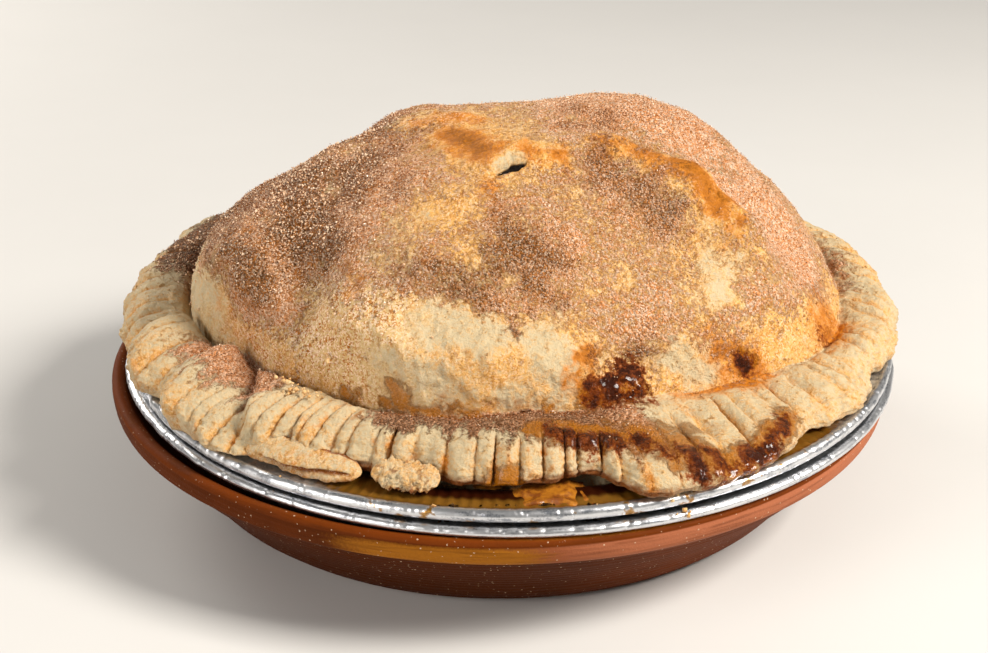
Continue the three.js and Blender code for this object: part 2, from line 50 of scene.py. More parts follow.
# Places in the dish, in millimetres and degrees, as in the part's source: the pie and its tin lean a little
PIE_PLACE = np.array([5.6, -2.0, 0.0])
LEAN_CENTRE = np.array([-7.2, 0.0, 45.7])
LEAN = 0.729
TWIST = 0.329
INNER_TIN_X = -0.6
OUTER_TIN_PLACE = np.array([5.1, -2.0, 0.0])
OUTER_TIN_LEAN = 0.35

# Camera, as fitted to the photograph
PHOTO_WIDTH = 988
FOCAL_PIXELS = 1800
SENSOR_MM = 36.0
CAMERA_DISTANCE = 0.5964
CAMERA_TILT = math.radians(24.27)
CAMERA_TARGET = Vector((-0.0016, -0.002, 0.0457))

# Dome of the top crust: compass angle, then how full and how steep its section is
DOME_TOP_Z = 113.6
SWELL_CENTRE = np.array([0.0, 0.0, 20.0])
DOME_SECTIONS = np.array([
    (0, 2.46, 0.82), (50, 2.84, 0.76), (90, 2.34, 0.68), (140, 2.62, 0.72), (180, 1.53, 0.39),
    (215, 2.0, 0.42), (245, 2.2, 0.5), (270, 2.1, 0.62), (300, 2.3, 0.8), (330, 2.6, 0.85),
])

# Swells and hollows over the apples: start, end, reach and height
SWELLS = [
    ((45, 22, 113), (45, 22, 113), 20, 6.4),
    ((-4, -5, 114), (24, -5, 114), 25, 1.8),
    ((26, -15, 115), (54, -22, 107), 5.5, 3.4),
    ((54, -22, 107), (67, -31, 88), 5.5, 4.6),
    ((67, -31, 88), (74, -40, 72), 6, 3.4),
    ((60, -2, 108), (84, -16, 86), 8, -3),
    ((30, -32, 107), (52, -42, 88), 10, -4.2),
    ((84, 10, 88), (84, 10, 88), 12, 2.5),
    ((-24, 15, 112), (-56, 0, 106), 8, 2.4),
    ((-56, -2, 106), (-84, -22, 88), 8, 2.8),
    ((-92, -24, 74), (-88, -36, 70), 11, 5.5),
    ((-62, -50, 88), (-72, -72, 62), 7, -6),
    ((-44, -74, 76), (-44, -74, 76), 12, 4),
    ((-32, -86, 66), (14, -88, 66), 9, 4.5),
    ((-20, -77, 84), (20, -74, 84), 8, -2.2),
    ((22, -86, 58), (33, -74, 64), 6, -5),
    ((48, -60, 74), (56, -54, 72), 10, 3),
    ((-7.5, -27, 113), (2.5, -20, 114), 3.8, 2.2),
    ((-77, -35, 90), (-76, -34, 91), 3.4, 2.8),
    ((-81, -38, 84), (-81, -38, 84), 5, 2),
    ((-90, -34.5, 81), (-92.5, -33.5, 62), 3.2, -2.4),
    ((-70, -37, 90), (-67, -45, 84), 4.5, -2.2),
    ((-40, 30, 108), (-40, 30, 108), 10, 2.3),
    ((-58, 30, 98), (-58, 30, 98), 10, -3),
    ((60, 24, 106), (60, 24, 106), 9, 0.8),
]

# Rim of the crust: compass angle, then radius and height of crease, crest and edge
RIM = np.array([
    (0, 106, 55, 114, 56.5, 124.6, 51.5), (14, 109, 56, 115, 58, 126, 53),
    (26, 112, 57, 117, 59, 127.5, 54), (45, 108, 56, 115, 58, 124, 52), (70, 102, 56, 111, 59, 121, 51),
    (95, 100, 56, 110, 60, 121, 51), (120, 101, 56, 112, 60, 124, 52), (140, 103, 56, 115, 61, 128, 54),
    (152, 104, 57, 118, 62, 132, 56), (164, 106, 56, 117, 61, 131, 54), (176, 107, 53, 115, 58, 130, 51),
    (186, 105, 52, 113, 57.5, 128, 50.5), (191.5, 103, 53, 111, 57.5, 125, 50),
    (198, 100, 53.5, 108, 57.5, 126.2, 50), (204, 95, 54, 106, 57.5, 124.5, 50),
    (208, 93.5, 54, 105, 57, 121, 50), (213, 92.5, 54, 104, 57, 124.6, 50),
    (220, 92, 54, 103, 57, 124.4, 50), (226, 92, 54, 101, 56.5, 123.6, 50),
    (230, 91.5, 54, 99, 56.2, 119, 50), (234, 91, 54, 97, 56.4, 112.2, 50),
    (240, 91, 54.5, 97, 57, 112, 50), (248, 91.5, 55.5, 98, 58.5, 110.5, 50),
    (256, 89.5, 56.5, 98, 59.5, 110, 50.3), (264, 88, 57, 98.5, 60, 112.5, 51),
    (270, 86, 57, 98, 60, 113.5, 51.6), (276, 84.5, 57, 98, 59.5, 111, 51.8),
    (281, 83.5, 56.5, 98.5, 58.5, 110.5, 51.5), (284, 83.5, 56, 100, 57.5, 117, 50.6),
    (287, 83.5, 56, 101, 56.8, 123.5, 50), (294, 84, 55.5, 102.5, 55.8, 124.6, 50),
    (301, 84.5, 55, 103.5, 55.3, 123.8, 50), (308, 86.5, 54.5, 102.5, 55, 120.6, 50),
    (316, 89.5, 54, 102.5, 55, 116.6, 50), (321, 92.5, 54, 103.5, 55, 119.2, 50),
    (328, 98, 54, 106, 55.3, 121.6, 50), (336, 101.5, 54, 108, 55.8, 117.6, 50),
    (342, 103.5, 54, 110, 56.3, 120.6, 50), (349, 104.5, 54.5, 111.5, 56.5, 122.8, 50.5),
])
RIM_LIP = 3.0
RIM_UNDERSIDE_Z = 46.9
# Folds: compass angle of the start at the edge and at the crease, last angle, height
FOLDS = [
    (146, 150, 172, 1.5), (167, 172, 190, 2.6), (193, 190, 208, 5.2), (209.5, 206, 222, 5.2),
    (231, 211.5, 256, 3.6),
]
FOLD_STEP = 0.9
FOLD_SAG = 0.25
# Crimped grooves: compass angle, then the degrees from groove to groove and the slant of a groove
GROOVE_SPACING = np.array([
    (0, 4.2), (90, 4.9), (180, 3.9), (205, 3.7), (219, 2.8), (240, 2.6), (252, 4.0), (262, 3.8), (275, 3.0),
    (285, 3.2), (305, 4.3),
])
GROOVE_LEAN = np.array([
    (0, 5.5), (40, 2), (130, 0), (175, -2.5), (215, -3), (240, 0), (280, 1), (300, 5.5), (330, 5.5),
])
GROOVE_JITTER = 0.5
GROOVE_DEPTH = 2.1
FRONT_GROOVE_DEPTH = 3.0
POINTS_PER_GROOVE = 12
DOME_ROWS = 140
RIM_ROWS = 60
UNDER_ROWS = 14

# Vent slit: its ends, greatest width and depth, the rise of its far lip, and half the size of its mesh
VENT_START = np.array([-6.3, -32.0])
VENT_END = np.array([3.6, -25.1])
VENT_WIDTH = 2.4
VENT_DEPTH = 9.0
VENT_LIP = 1.3
VENT_PATCH = (13.0, 11.0)
VENT_MIDDLE = 0.5 * (VENT_START + VENT_END)
VENT_LENGTH = np.linalg.norm(VENT_END - VENT_START)
VENT_ALONG = (VENT_END - VENT_START) / VENT_LENGTH

# Torn strip of lower crust and broken flake: first and last compass angle, radii, heights, width, thickness
STRIP = ((224, 247), (115.2, 114.2), (50.2, 48.9), 10.5, 4.4)
FLAKE = ((248.5, 258.5), (113.4, 113.2), (50.2, 49.9), 10.0, 4.2)
STRIP_SLOPE = 0.5
STRIP_ROWS = 110
STRIP_COLUMNS = 84

# Tins
FOIL = 0.5
TIN_MIDDLE_R = 45
TIN_FLOOR_R = 91
TIN_SIDE_R = 92.5
TIN_SIDE_Z = 9.5
TIN_SIDE_SLOPE = 0.472
TIN_FLANGE_R = 109.5
TIN_CLEARANCE = 0.7
PIE_FLOOR_Z = 8.5
BEAD_HALF_WIDTH = 1.9
INNER_TIN = {"floor_z": 7.6, "rim_r": 120.9, "rim_z": 44.0, "bead_half_height": 1.9, "wider": 0.0}
OUTER_TIN = {"floor_z": 6.2, "rim_r": 122.0, "rim_z": 39.6, "bead_half_height": 1.5, "wider": 1.9}
RIM_BEND = (178, 17, 3.8)
FOIL_COLUMNS = 1440
FLANGE_PLEATS = 205
SIDE_PLEATS = 110
BEAD_CREASES = 190

# Clay dish, from the middle of its inside over the lip and down to its foot
DISH_OUTLINE = [
    (0, 5.2), (97.5, 5.2), (100.5, 8), (103, 12), (112.4, 22), (118.5, 30.5), (123, 37.4),
    (125.2, 38.2), (126.8, 37.5), (127.4, 35.8),
    (127.1, 31.5), (125.5, 29.6), (123.2, 29),
    (117.4, 22), (107.6, 12), (101.8, 4.5), (97.5, 1.2), (94, 0), (0, 0),
]

# Columns of the dish's mesh and the longest step of its outline, then half the width of the floor
DISH_COLUMNS = 600
DISH_STEP = 0.8
FLOOR_HALF = 5000.0

random = np.random.default_rng(7)


# Shape maths

def ease(start, end, x):
    t = np.clip((x - start) / (end - start), 0, 1)
    return t * t * (3 - 2 * t)


def within(start, end, soft, x):
    """1 between two values, easing to 0 outside them."""
    return ease(start - soft, start + soft, x) * (1 - ease(end - soft, end + soft, x))


def scatter(n):
    s = np.sin(n * 12.9898) * 43758.5453
    return s - np.floor(s)


def around(deg, table, column):
    """Value of a column of a table of compass angles, on a smooth closed curve through its rows."""
    angle = np.concatenate([table[-2:, 0] - 360, table[:, 0], table[:3, 0] + 360])
    value = np.concatenate([table[-2:, column], table[:, column], table[:3, column]])
    d = np.mod(deg, 360)
    row = np.searchsorted(angle, d, side="right") - 1
    span = angle[row + 1] - angle[row]
    t = (d - angle[row]) / span
    here = (value[row + 1] - value[row - 1]) / (angle[row + 1] - angle[row - 1])
    after = (value[row + 2] - value[row]) / (angle[row + 2] - angle[row])
    return ((2 * t**3 - 3 * t**2 + 1) * value[row] + (t**3 - 2 * t**2 + t) * span * here
            + (3 * t**2 - 2 * t**3) * value[row + 1] + (t**3 - t**2) * span * after)


def uneven(points, step, seed):
    """Soft unevenness: crossed waves about one step long, the same as in the part's source."""
    x, y, z = points[..., 0], points[..., 1], points[..., 2]
    total = 0
    for i in range(7):
        turn = TURN * scatter(seed + 3.1 * i)
        up = 2 * scatter(seed + 5.7 * i + 1) - 1
        flat = math.sqrt(1 - up * up)
        dx, dy = flat * math.cos(turn), flat * math.sin(turn)
        rate = TURN / step * (0.7 + 0.7 * scatter(seed + 7.3 * i + 2))
        start = TURN * scatter(seed + 9.1 * i + 3)
        bend = 0.9 * np.sin(0.6 * rate * (dy * x - dx * y) + 2 * start)
        total = total + np.sin(rate * (dx * x + dy * y + up * z) + start + bend)
    return total / 3.2


def grain(points, step, seed):
    """Random relief from 0 to 1 that changes over one step."""
    place = points / step + 17.3 * seed
    low = np.floor(place).astype(np.int64)
    share = place - low
    share = share * share * (3 - 2 * share)
    total = 0
    for corner in product((0, 1), repeat=3):
        cell = low + np.array(corner)
        mixed = cell[..., 0] * 73856093 ^ cell[..., 1] * 19349663 ^ cell[..., 2] * 83492791 ^ seed * 2654435
        mixed = (mixed ^ (mixed >> 13)) * 1274126177
        number = ((mixed ^ (mixed >> 16)) & 0xFFFF) / 65535.0
        weight = np.prod(np.where(np.array(corner) == 1, share, 1 - share), axis=-1)
        total = total + number * weight
    return total


# Turns points against the axes, so that the cells of the grain don't line up
TURNED = np.array([(0.36, 0.48, -0.80), (-0.80, 0.60, 0.0), (0.48, 0.64, 0.60)])


def mottle(points, step, seed):
    """Random relief from 0 to 1 with finer detail on it and ragged contours."""
    turned = points @ TURNED
    return (0.5 * grain(turned, step, seed) + 0.3 * grain(turned @ TURNED, 0.45 * step, seed + 101)
            + 0.2 * grain(points, 0.2 * step, seed + 202))


def line_distance(points, start, end):
    a, b = np.array(start, float), np.array(end, float)
    length2 = ((b - a) ** 2).sum()
    t = np.clip(((points - a) @ (b - a)) / length2, 0, 1) if length2 > 0 else np.zeros(points.shape[:-1])
    return np.linalg.norm(points - a - t[..., None] * (b - a), axis=-1)


def swell_height(points):
    height = 0
    for start, end, reach, rise in SWELLS:
        height = height + rise * np.exp(-0.5 * (line_distance(points, start, end) / reach) ** 2)
    return height


def roughen(points, amount):
    rise = 0.9 * uneven(points, 34, 3) + 0.35 * uneven(points, 13, 5)
    return points + np.stack([0 * rise, 0 * rise, amount * rise], -1)


def polar(r, deg, z):
    a = np.radians(deg)
    return np.stack([r * np.cos(a), r * np.sin(a), z + 0 * r * a], -1)


def compass(points):
    return np.mod(np.degrees(np.arctan2(points[..., 1], points[..., 0])), 360)


def rotated(first, second, degrees):
    """Two coordinates, turned in their plane."""
    turn = math.radians(degrees)
    return first * math.cos(turn) - second * math.sin(turn), first * math.sin(turn) + second * math.cos(turn)


def settle(points):
    """Leans the pie and puts it in its place in the dish."""
    x, y, z = np.moveaxis(points - LEAN_CENTRE, -1, 0)
    x, z = rotated(x, z, LEAN)
    x, y = rotated(x, y, TWIST)
    return np.stack([x, y, z], -1) + LEAN_CENTRE + PIE_PLACE


def settle_inner_tin(points):
    return settle(points + np.array([INNER_TIN_X, 0, 0]))


def settle_outer_tin(points):
    x, y, z = np.moveaxis(points, -1, 0)
    x, z = rotated(x, z, OUTER_TIN_LEAN)
    return np.stack([x, y, z], -1) + OUTER_TIN_PLACE


def dome_at(deg, share):
    """Points of the dome at compass angles and shares of the way from the middle to the crease."""
    crease_r, crease_z = around(deg, RIM, 1), around(deg, RIM, 2)
    full, steep = around(deg, DOME_SECTIONS, 1), around(deg, DOME_SECTIONS, 2)
    z = crease_z + (DOME_TOP_Z - crease_z) * np.maximum(0, 1 - share**full) ** steep
    points = polar(share * crease_r, deg, z)
    outward = points - SWELL_CENTRE
    outward /= np.linalg.norm(outward, axis=-1, keepdims=True)
    rise = swell_height(points) * (1 - ease(0.93, 1.0, share))
    return roughen(points + outward * rise[..., None], 1)


def fold_rise(deg, across):
    d = np.mod(deg, 360)
    v = np.clip(across, 0, 1)
    rise = 0 * d
    for (edge_angle, crease_angle, last_angle, height), after in zip(FOLDS, [*FOLDS[1:], None]):
        start = crease_angle + (edge_angle - crease_angle) * v
        end, sag = (after[1] + (after[0] - after[1]) * v, FOLD_SAG) if after else (last_angle, 0)
        t = (d - start) / np.maximum(end - start, 1)
        shape = ease(-FOLD_STEP, FOLD_STEP, d - start) * (1 - ease(-FOLD_STEP, FOLD_STEP, d - end))
        hump = 1 + 0.25 * np.sin(np.pi * np.clip(2.2 * t, 0, 1)) - (1 + sag) * ease(0.15, 1, t)
        rise = rise + height * shape * hump
    return rise


def groove_columns():
    """Compass angles of the rim's columns, with their place in a groove's span and their groove."""
    steps = np.arange(360)
    passed = np.concatenate([[0], np.cumsum(1 / around(steps + 0.5, GROOVE_SPACING, 1))])
    total = int(round(passed[-1]))
    passed *= total / passed[-1]
    count = np.arange(total * POINTS_PER_GROOVE) / POINTS_PER_GROOVE
    groove = np.floor(count)
    span = count - groove
    shift = GROOVE_JITTER * (scatter(np.arange(total + 1.0) + 40) - 0.5)
    shift[0] = shift[-1] = 0
    moved = count + np.interp(count, np.arange(total + 1), shift)
    return np.interp(moved, passed, np.arange(361)), span, groove


def tin_side_r(z):
    return TIN_SIDE_R + (z - TIN_SIDE_Z) * TIN_SIDE_SLOPE - FOIL


def rim_section(deg):
    crease_r, crease_z, crest_r, crest_z, edge_r, edge_z = [around(deg, RIM, c) for c in range(1, 7)]
    same = 0 * crease_r
    return np.array([
        (crease_r - 2, crease_z + 4),
        (crease_r, crease_z),
        (crease_r + 0.45 * (crest_r - crease_r), crease_z + 0.7 * (crest_z - crease_z)),
        (crest_r, crest_z),
        (crest_r + 0.6 * (edge_r - crest_r), edge_z + 0.8 * (crest_z - edge_z)),
        (edge_r, edge_z),
        (edge_r - 0.6, edge_z - RIM_LIP),
        (edge_r - 5, np.maximum(edge_z - RIM_LIP - 0.6, RIM_UNDERSIDE_Z)),
        (np.minimum(edge_r - 9, 105.5), same + RIM_UNDERSIDE_Z - 0.7),
        (same + tin_side_r(37) - TIN_CLEARANCE, same + 37),
        (same + tin_side_r(20) - TIN_CLEARANCE, same + 20),
    ])


def rim_points(column_deg, span, groove, across):
    """Rim of the crust, one row for each place across, from crease (0) over the edge (1) to the tin (2).

    Returns the points, how far across each one is, and how deep in a groove.
    """
    across = across[:, None] + 0 * column_deg[None, :]
    column_deg = column_deg[None, :] + 0 * across
    deg = column_deg - around(column_deg, GROOVE_LEAN, 1) * (np.minimum(across, 1.2) - 0.6)
    section = rim_section(deg)
    t = 1 + 4 * across
    first = np.clip(np.floor(t).astype(int), 1, 8)
    f = (t - first)[..., None]
    rows, columns = np.indices(t.shape)
    a, b, c, d = [section[first + k, :, rows, columns] for k in (-1, 0, 1, 2)]
    curve = 0.5 * (2 * b + (c - a) * f + (2 * a - 5 * b + 4 * c - d) * f**2 + (3 * b - a - 3 * c + d) * f**3)
    r, z = curve[..., 0], curve[..., 1]
    rise = fold_rise(deg, across)
    z = z + 0.9 * rise * ease(0, 0.25, across) * (1 - ease(1, 1.3, across))
    r = r + 0.15 * rise * ease(0.5, 1, across) * (1 - ease(1.1, 1.6, across))
    d360 = np.mod(deg, 360)
    front = ease(222, 235, d360) * (1 - ease(278, 292, d360))
    back = ease(30, 60, d360) * (1 - ease(120, 150, d360))
    flat = np.clip(ease(288, 305, d360) + (d360 < 40), 0, 1)
    sharp = 0.42 + 0.12 * flat
    cut = (1 - (4 * span * (1 - span)) ** sharp) * (0.3 + 0.95 * scatter(groove))
    early = ease(206, 216, d360) * (1 - ease(236, 248, d360))
    start = 0.3 + 0.2 * front - 0.25 * flat - 0.3 * early
    begins = ease(start, start + 0.3 - 0.05 * front + 0.1 * flat, across)
    begins = begins * (1 - flat * ease(0.74, 0.94, across))
    depth = (GROOVE_DEPTH + (FRONT_GROOVE_DEPTH - GROOVE_DEPTH) * front) * (1 + 0.4 * flat) * (1 - 0.4 * back)
    part = cut * begins * (1 - ease(1.12, 1.3, across))
    z = z - part * depth * (1 - 0.55 * ease(0.6, 1, across)) * (1 - ease(1, 1.12, across))
    r = r - part * depth * (0.3 + 0.9 * ease(0.5, 0.9, across)) * (1 - 0.3 * flat)
    turn = np.radians(column_deg)
    ragged = 0.5 * np.sin(29 * turn + 1) + 0.4 * np.sin(47 * turn + 2) + 0.3 * np.sin(83 * turn)
    r = r + ragged * ease(0.7, 1, across) * (1 - ease(1.3, 1.7, across))
    points = polar(r, deg, z)
    points[..., 0] += INNER_TIN_X * ease(1.1, 1.6, across)
    return roughen(points, 1 - ease(0.9, 1.3, across)), across, part


# Meshes

class Surface:
    """Vertices and faces of one piece, in millimetres, with a value for each vertex in named layers."""

    def __init__(self):
        self.points = np.zeros((0, 3))
        self.faces = []
        self.layers = {}

    def add(self, points):
        first = len(self.points)
        self.points = np.concatenate([self.points, points.reshape(-1, 3)])
        return np.arange(first, len(self.points)).reshape(points.shape[:-1])

    def quads(self, rows, closed=True, keep=None):
        """Joins each row of vertex numbers to the next, leaving out faces whose corners aren't all kept."""
        right = np.roll(rows, -1, axis=1) if closed else rows[:, 1:]
        left = rows if closed else rows[:, :-1]
        faces = np.stack([left[:-1], left[1:], right[1:], right[:-1]], -1).reshape(-1, 4)
        self.faces.append(faces if keep is None else faces[keep[faces].any(axis=1)])

    def fan(self, row, middle, above):
        centre = self.add(np.asarray(middle, float)[None])[0]
        after = np.roll(row, -1)
        first = np.full(len(row), centre)
        self.faces.append(np.stack([first, row, after] if above else [first, after, row], -1))

    def crosses(self):
        """Each set of faces, with the cross products of their diagonals."""
        for faces in self.faces:
            corner = self.points[faces]
            yield faces, np.cross(corner[:, 2] - corner[:, 0], corner[:, -1] - corner[:, 1])

    def normals(self):
        total = np.zeros_like(self.points)
        for faces, cross in self.crosses():
            for k, axis in product(range(faces.shape[1]), range(3)):
                total[:, axis] += np.bincount(faces[:, k], cross[:, axis], len(self.points))
        return total / np.maximum(np.linalg.norm(total, axis=1, keepdims=True), 1e-9)

    def areas(self):
        """Share of the surface's area that belongs to each vertex."""
        total = np.zeros(len(self.points))
        for faces, cross in self.crosses():
            area = 0.5 * np.linalg.norm(cross, axis=1) / faces.shape[1]
            for k in range(faces.shape[1]):
                total += np.bincount(faces[:, k], area, len(self.points))
        return total

    def make(self, name, material, node=None, place=None, smooth=True):
        """The piece itself, put in its place and kept inside the box of the solid that it stands for."""
        points = self.points if place is None else place(self.points)
        if node:
            low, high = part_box(node)
            points = np.clip(points, np.array(low) / MM, np.array(high) / MM)
        mesh = bpy.data.meshes.new(name)
        loops = np.concatenate([faces.ravel() for faces in self.faces])
        sizes = np.concatenate([np.full(len(faces), faces.shape[1]) for faces in self.faces])
        starts = np.concatenate([[0], np.cumsum(sizes)[:-1]])
        mesh.vertices.add(len(points))
        mesh.loops.add(len(loops))
        mesh.polygons.add(len(sizes))
        mesh.vertices.foreach_set("co", (points * MM).astype(np.float32).ravel())
        mesh.loops.foreach_set("vertex_index", loops.astype(np.int32))
        mesh.polygons.foreach_set("loop_start", starts.astype(np.int32))
        mesh.polygons.foreach_set("use_smooth", np.full(len(sizes), smooth))
        mesh.update(calc_edges=True)
        mesh.validate()
        for layer, values in self.layers.items():
            attribute = mesh.attributes.new(layer, "FLOAT", "POINT")
            attribute.data.foreach_set("value", values.astype(np.float32))
        mesh.materials.append(material)
        piece = bpy.data.objects.new(name, mesh)
        bpy.context.scene.collection.objects.link(piece)
        return piece


# Materials

class Value:
    """A socket in a finish; Python's operators add Math nodes to it."""

    def __init__(self, finish, socket):
        self.finish = finish
        self.socket = socket

    def math(self, operation, first, second=0.0):
        return self.finish.node("ShaderNodeMath", {"operation": operation}, {0: first, 1: second})

    def __add__(self, other):
        return self.math("ADD", self, other)

    def __sub__(self, other):
        return self.math("SUBTRACT", self, other)

    def __rsub__(self, other):
        return self.math("SUBTRACT", other, self)

    def __mul__(self, other):
        return self.math("MULTIPLY", self, other)

    __radd__ = __add__
    __rmul__ = __mul__

    def above(self, low, high):
        """0 below low, 1 above high, eased between them."""
        return self.finish.node("ShaderNodeMapRange", {"interpolation_type": "SMOOTHSTEP"},
                                {"Value": self, "From Min": low, "From Max": high})


class Finish:
    """A procedural material and the nodes that make it."""

    def __init__(self, name):
        self.material = bpy.data.materials.new(name)
        self.material.use_nodes = True
        self.tree = self.material.node_tree
        self.shader = self.tree.nodes["Principled BSDF"]
        self.place = self.node("ShaderNodeTexCoord", output="Object")

    def node(self, kind, settings=None, sockets=None, output=0):
        node = self.tree.nodes.new(kind)
        for key, value in (settings or {}).items():
            setattr(node, key, value)
        for key, value in (sockets or {}).items():
            self.feed(node.inputs[key], value)
        return Value(self, node.outputs[output])

    def feed(self, socket, value):
        if isinstance(value, Value):
            self.tree.links.new(value.socket, socket)
        elif isinstance(value, tuple) and len(value) == 3 and socket.type == "RGBA":
            socket.default_value = (*value, 1)
        else:
            socket.default_value = value

    def layer(self, name):
        return self.node("ShaderNodeAttribute", {"attribute_name": name}, output="Fac")

    def noise(self, step_mm, detail=3.0, roughness=0.6, stretch=None):
        place = self.place
        if stretch:
            place = self.node("ShaderNodeVectorMath", {"operation": "MULTIPLY"}, {0: place, 1: stretch})
        return self.node("ShaderNodeTexNoise", {}, {
            "Vector": place, "Scale": 1000 / step_mm, "Detail": detail, "Roughness": roughness})

    def cells(self, step_mm, feature="F1", output="Distance"):
        return self.node("ShaderNodeTexVoronoi", {"feature": feature}, {
            "Vector": self.place, "Scale": 1000 / step_mm}, output)

    def blend(self, factor, first, second, kind="MIX"):
        return self.node("ShaderNodeMix", {"data_type": "RGBA", "blend_type": kind},
                         {0: factor, 6: first, 7: second}, output=2)

    def bump(self, height, distance_mm, strength=1.0, under=None):
        sockets = {"Height": height, "Distance": distance_mm * MM, "Strength": strength}
        if under is not None:
            sockets["Normal"] = under
        return self.node("ShaderNodeBump", {}, sockets)

    def set(self, **values):
        for key, value in values.items():
            self.feed(self.shader.inputs[key.replace("_", " ").title().replace("Ior", "IOR")], value)
        return self.material


# Colours, linear
PALE_DOUGH = (0.64, 0.515, 0.315)
GOLDEN = (0.80, 0.43, 0.12)
ORANGE = (0.64, 0.21, 0.012)
DEEP_BROWN = (0.22, 0.06, 0.006)
GLAZED = (0.72, 0.51, 0.24)
PINK_SUGAR = (0.86, 0.34, 0.125)
BROWN_SUGAR = (0.07, 0.018, 0.003)
CINNAMON = (0.36, 0.095, 0.010)
DARK_CINNAMON = (0.08, 0.022, 0.004)
PALE_CRYSTAL = (1.0, 0.75, 0.56)
AMBER_JUICE = (0.53, 0.175, 0.003)
SPILT_BROWN = (0.24, 0.046, 0.002)
# Burnt juice on the crust, and painted shade on the foil under the crust
BURNT_JUICE_AND_SHADE = (0.06, 0.010, 0.001)
# Lit clay for painted light, and dark clay for painted shade and the throwing rings
CLAY_LIT = (0.38, 0.125, 0.058)
CLAY_RED = (0.18, 0.036, 0.003)
CLAY_DARK = (0.065, 0.014, 0.002)
CLAY_OCHRE = (0.34, 0.12, 0.010)
FOIL_SILVER = (0.74, 0.75, 0.77)
FOIL_DARK_REFLECTION = (0.30, 0.32, 0.36)
FOIL_AMBER = (0.36, 0.17, 0.02)
BROWN_SPECK = (0.50, 0.17, 0.02)
# Near black for painted shade in the vent slit
SLIT_PAINTED_SHADE = (0.008, 0.004, 0.002)
CLAY_SPECK = (0.60, 0.44, 0.30)
CLEAR_SUGAR = ((0.90, 0.70, 0.50), (0.76, 0.46, 0.26))
CINNAMON_GRAIN = ((0.17, 0.042, 0.008), (0.34, 0.11, 0.025))
CRUMB = ((0.78, 0.56, 0.30), (0.66, 0.36, 0.13))
CARAMEL = ((0.46, 0.17, 0.015), (0.20, 0.055, 0.008))
FLOOR_GREY = ((0.66, 0.65, 0.63), (0.69, 0.68, 0.66))

CRUST_LAYERS = ("gold", "bake", "brown", "sugar", "heavy", "char", "wet", "hollow", "glaze")


def crust_finish():
    """Baked dough under cinnamon sugar, with golden, orange and burnt places from the mesh's layers, and
    painted shade in the vent slit and in the rim's grooves.
    """
    f = Finish("baked_crust")
    gold, bake, brown, sugar, heavy, char, wet, hollow, glaze = [f.layer(name) for name in CRUST_LAYERS]
    middle, fine = f.noise(4.5), f.noise(1.3, detail=5, roughness=0.7)
    other = f.noise(2.4, detail=5, roughness=0.75)
    grit, dust = f.cells(0.72, output="Color"), f.cells(0.46, output="Color")
    dough = f.blend((gold + other * 1.6 + fine * 1.2 - 1.2).above(0.1, 0.8), PALE_DOUGH, GOLDEN)
    dough = f.blend((glaze + middle * 0.8 + other * 1.4 - 1.05).above(0.1, 0.7) * 0.9, dough, GLAZED)
    dough = f.blend((bake + middle * 0.7 + fine * 0.8 - 0.75).above(0.1, 0.9), dough, ORANGE)
    dough = f.blend((brown + middle * 0.5 + fine * 0.5 - 0.5).above(0.15, 0.85), dough, DEEP_BROWN)
    coat = f.blend((heavy + other * 1.2 - 0.6).above(0.1, 0.9), PINK_SUGAR, BROWN_SUGAR)
    cinnamon = f.blend(heavy, CINNAMON, DARK_CINNAMON)
    coat = f.blend(grit.above(0.58, 0.64) * (heavy * 0.4 + 0.38), coat, cinnamon)
    crystal = f.blend(heavy * 0.85, PALE_CRYSTAL, PINK_SUGAR)
    coat = f.blend((1 - grit).above(0.60, 0.66) * (0.85 - heavy * 0.65), coat, crystal)
    coat = f.blend(dust.above(0.66, 0.72) * (0.7 - heavy * 0.55), coat, crystal)
    cover = (sugar + other * 1.7 + fine * 1.4 - 1.55).above(0.2, 0.7)
    colour = f.blend(cover * 0.9, dough, coat)
    speckle = dust.above(0.55, 0.65) * (fine + middle - 0.8).above(0.0, 0.3)
    colour = f.blend(speckle * (gold * 0.8 + glaze * 0.5 + 0.1), colour, BROWN_SPECK)
    frosted = (1 - dust).above(0.62, 0.7) * (gold * (0.6 - bake * 0.6) + glaze * 0.4)
    colour = f.blend(frosted, colour, PALE_CRYSTAL)
    colour = f.blend((wet + fine * 0.6 - 0.3).above(0.15, 0.75) * 0.88, colour, AMBER_JUICE)
    burn = char + middle * 0.9 + other * 1.8 + fine * 1.4 - 2.05
    burnt_here = char.above(0.04, 0.25)
    colour = f.blend(burn.above(0.1, 0.6) * burnt_here, colour, SPILT_BROWN)
    colour = f.blend(burn.above(0.5, 1.0) * burnt_here, colour, BURNT_JUICE_AND_SHADE)
    # Painted shade: the slit's depths are painted near black.
    colour = f.blend(hollow, colour, SLIT_PAINTED_SHADE)
    gloss = (wet + fine * 0.5 - 0.25).above(0.35, 0.7)
    dry = 1 - gloss
    relief = (1 - f.cells(0.72)) * (cover + gloss * 0.7) + fine * (gloss * 2.2 + 0.8)
    relief = relief + middle * 0.4 + other * (gloss * 1.6 + 0.5)
    return f.set(base_color=colour, roughness=dry * 0.42 + 0.16 - glaze * dry * 0.12, specular_ior_level=0.2,
                 coat_weight=gloss * 0.35, coat_roughness=0.1,
                 normal=f.bump(relief * (dry * 0.5 + 0.5) * (1 - glaze * 0.4), 1.15))


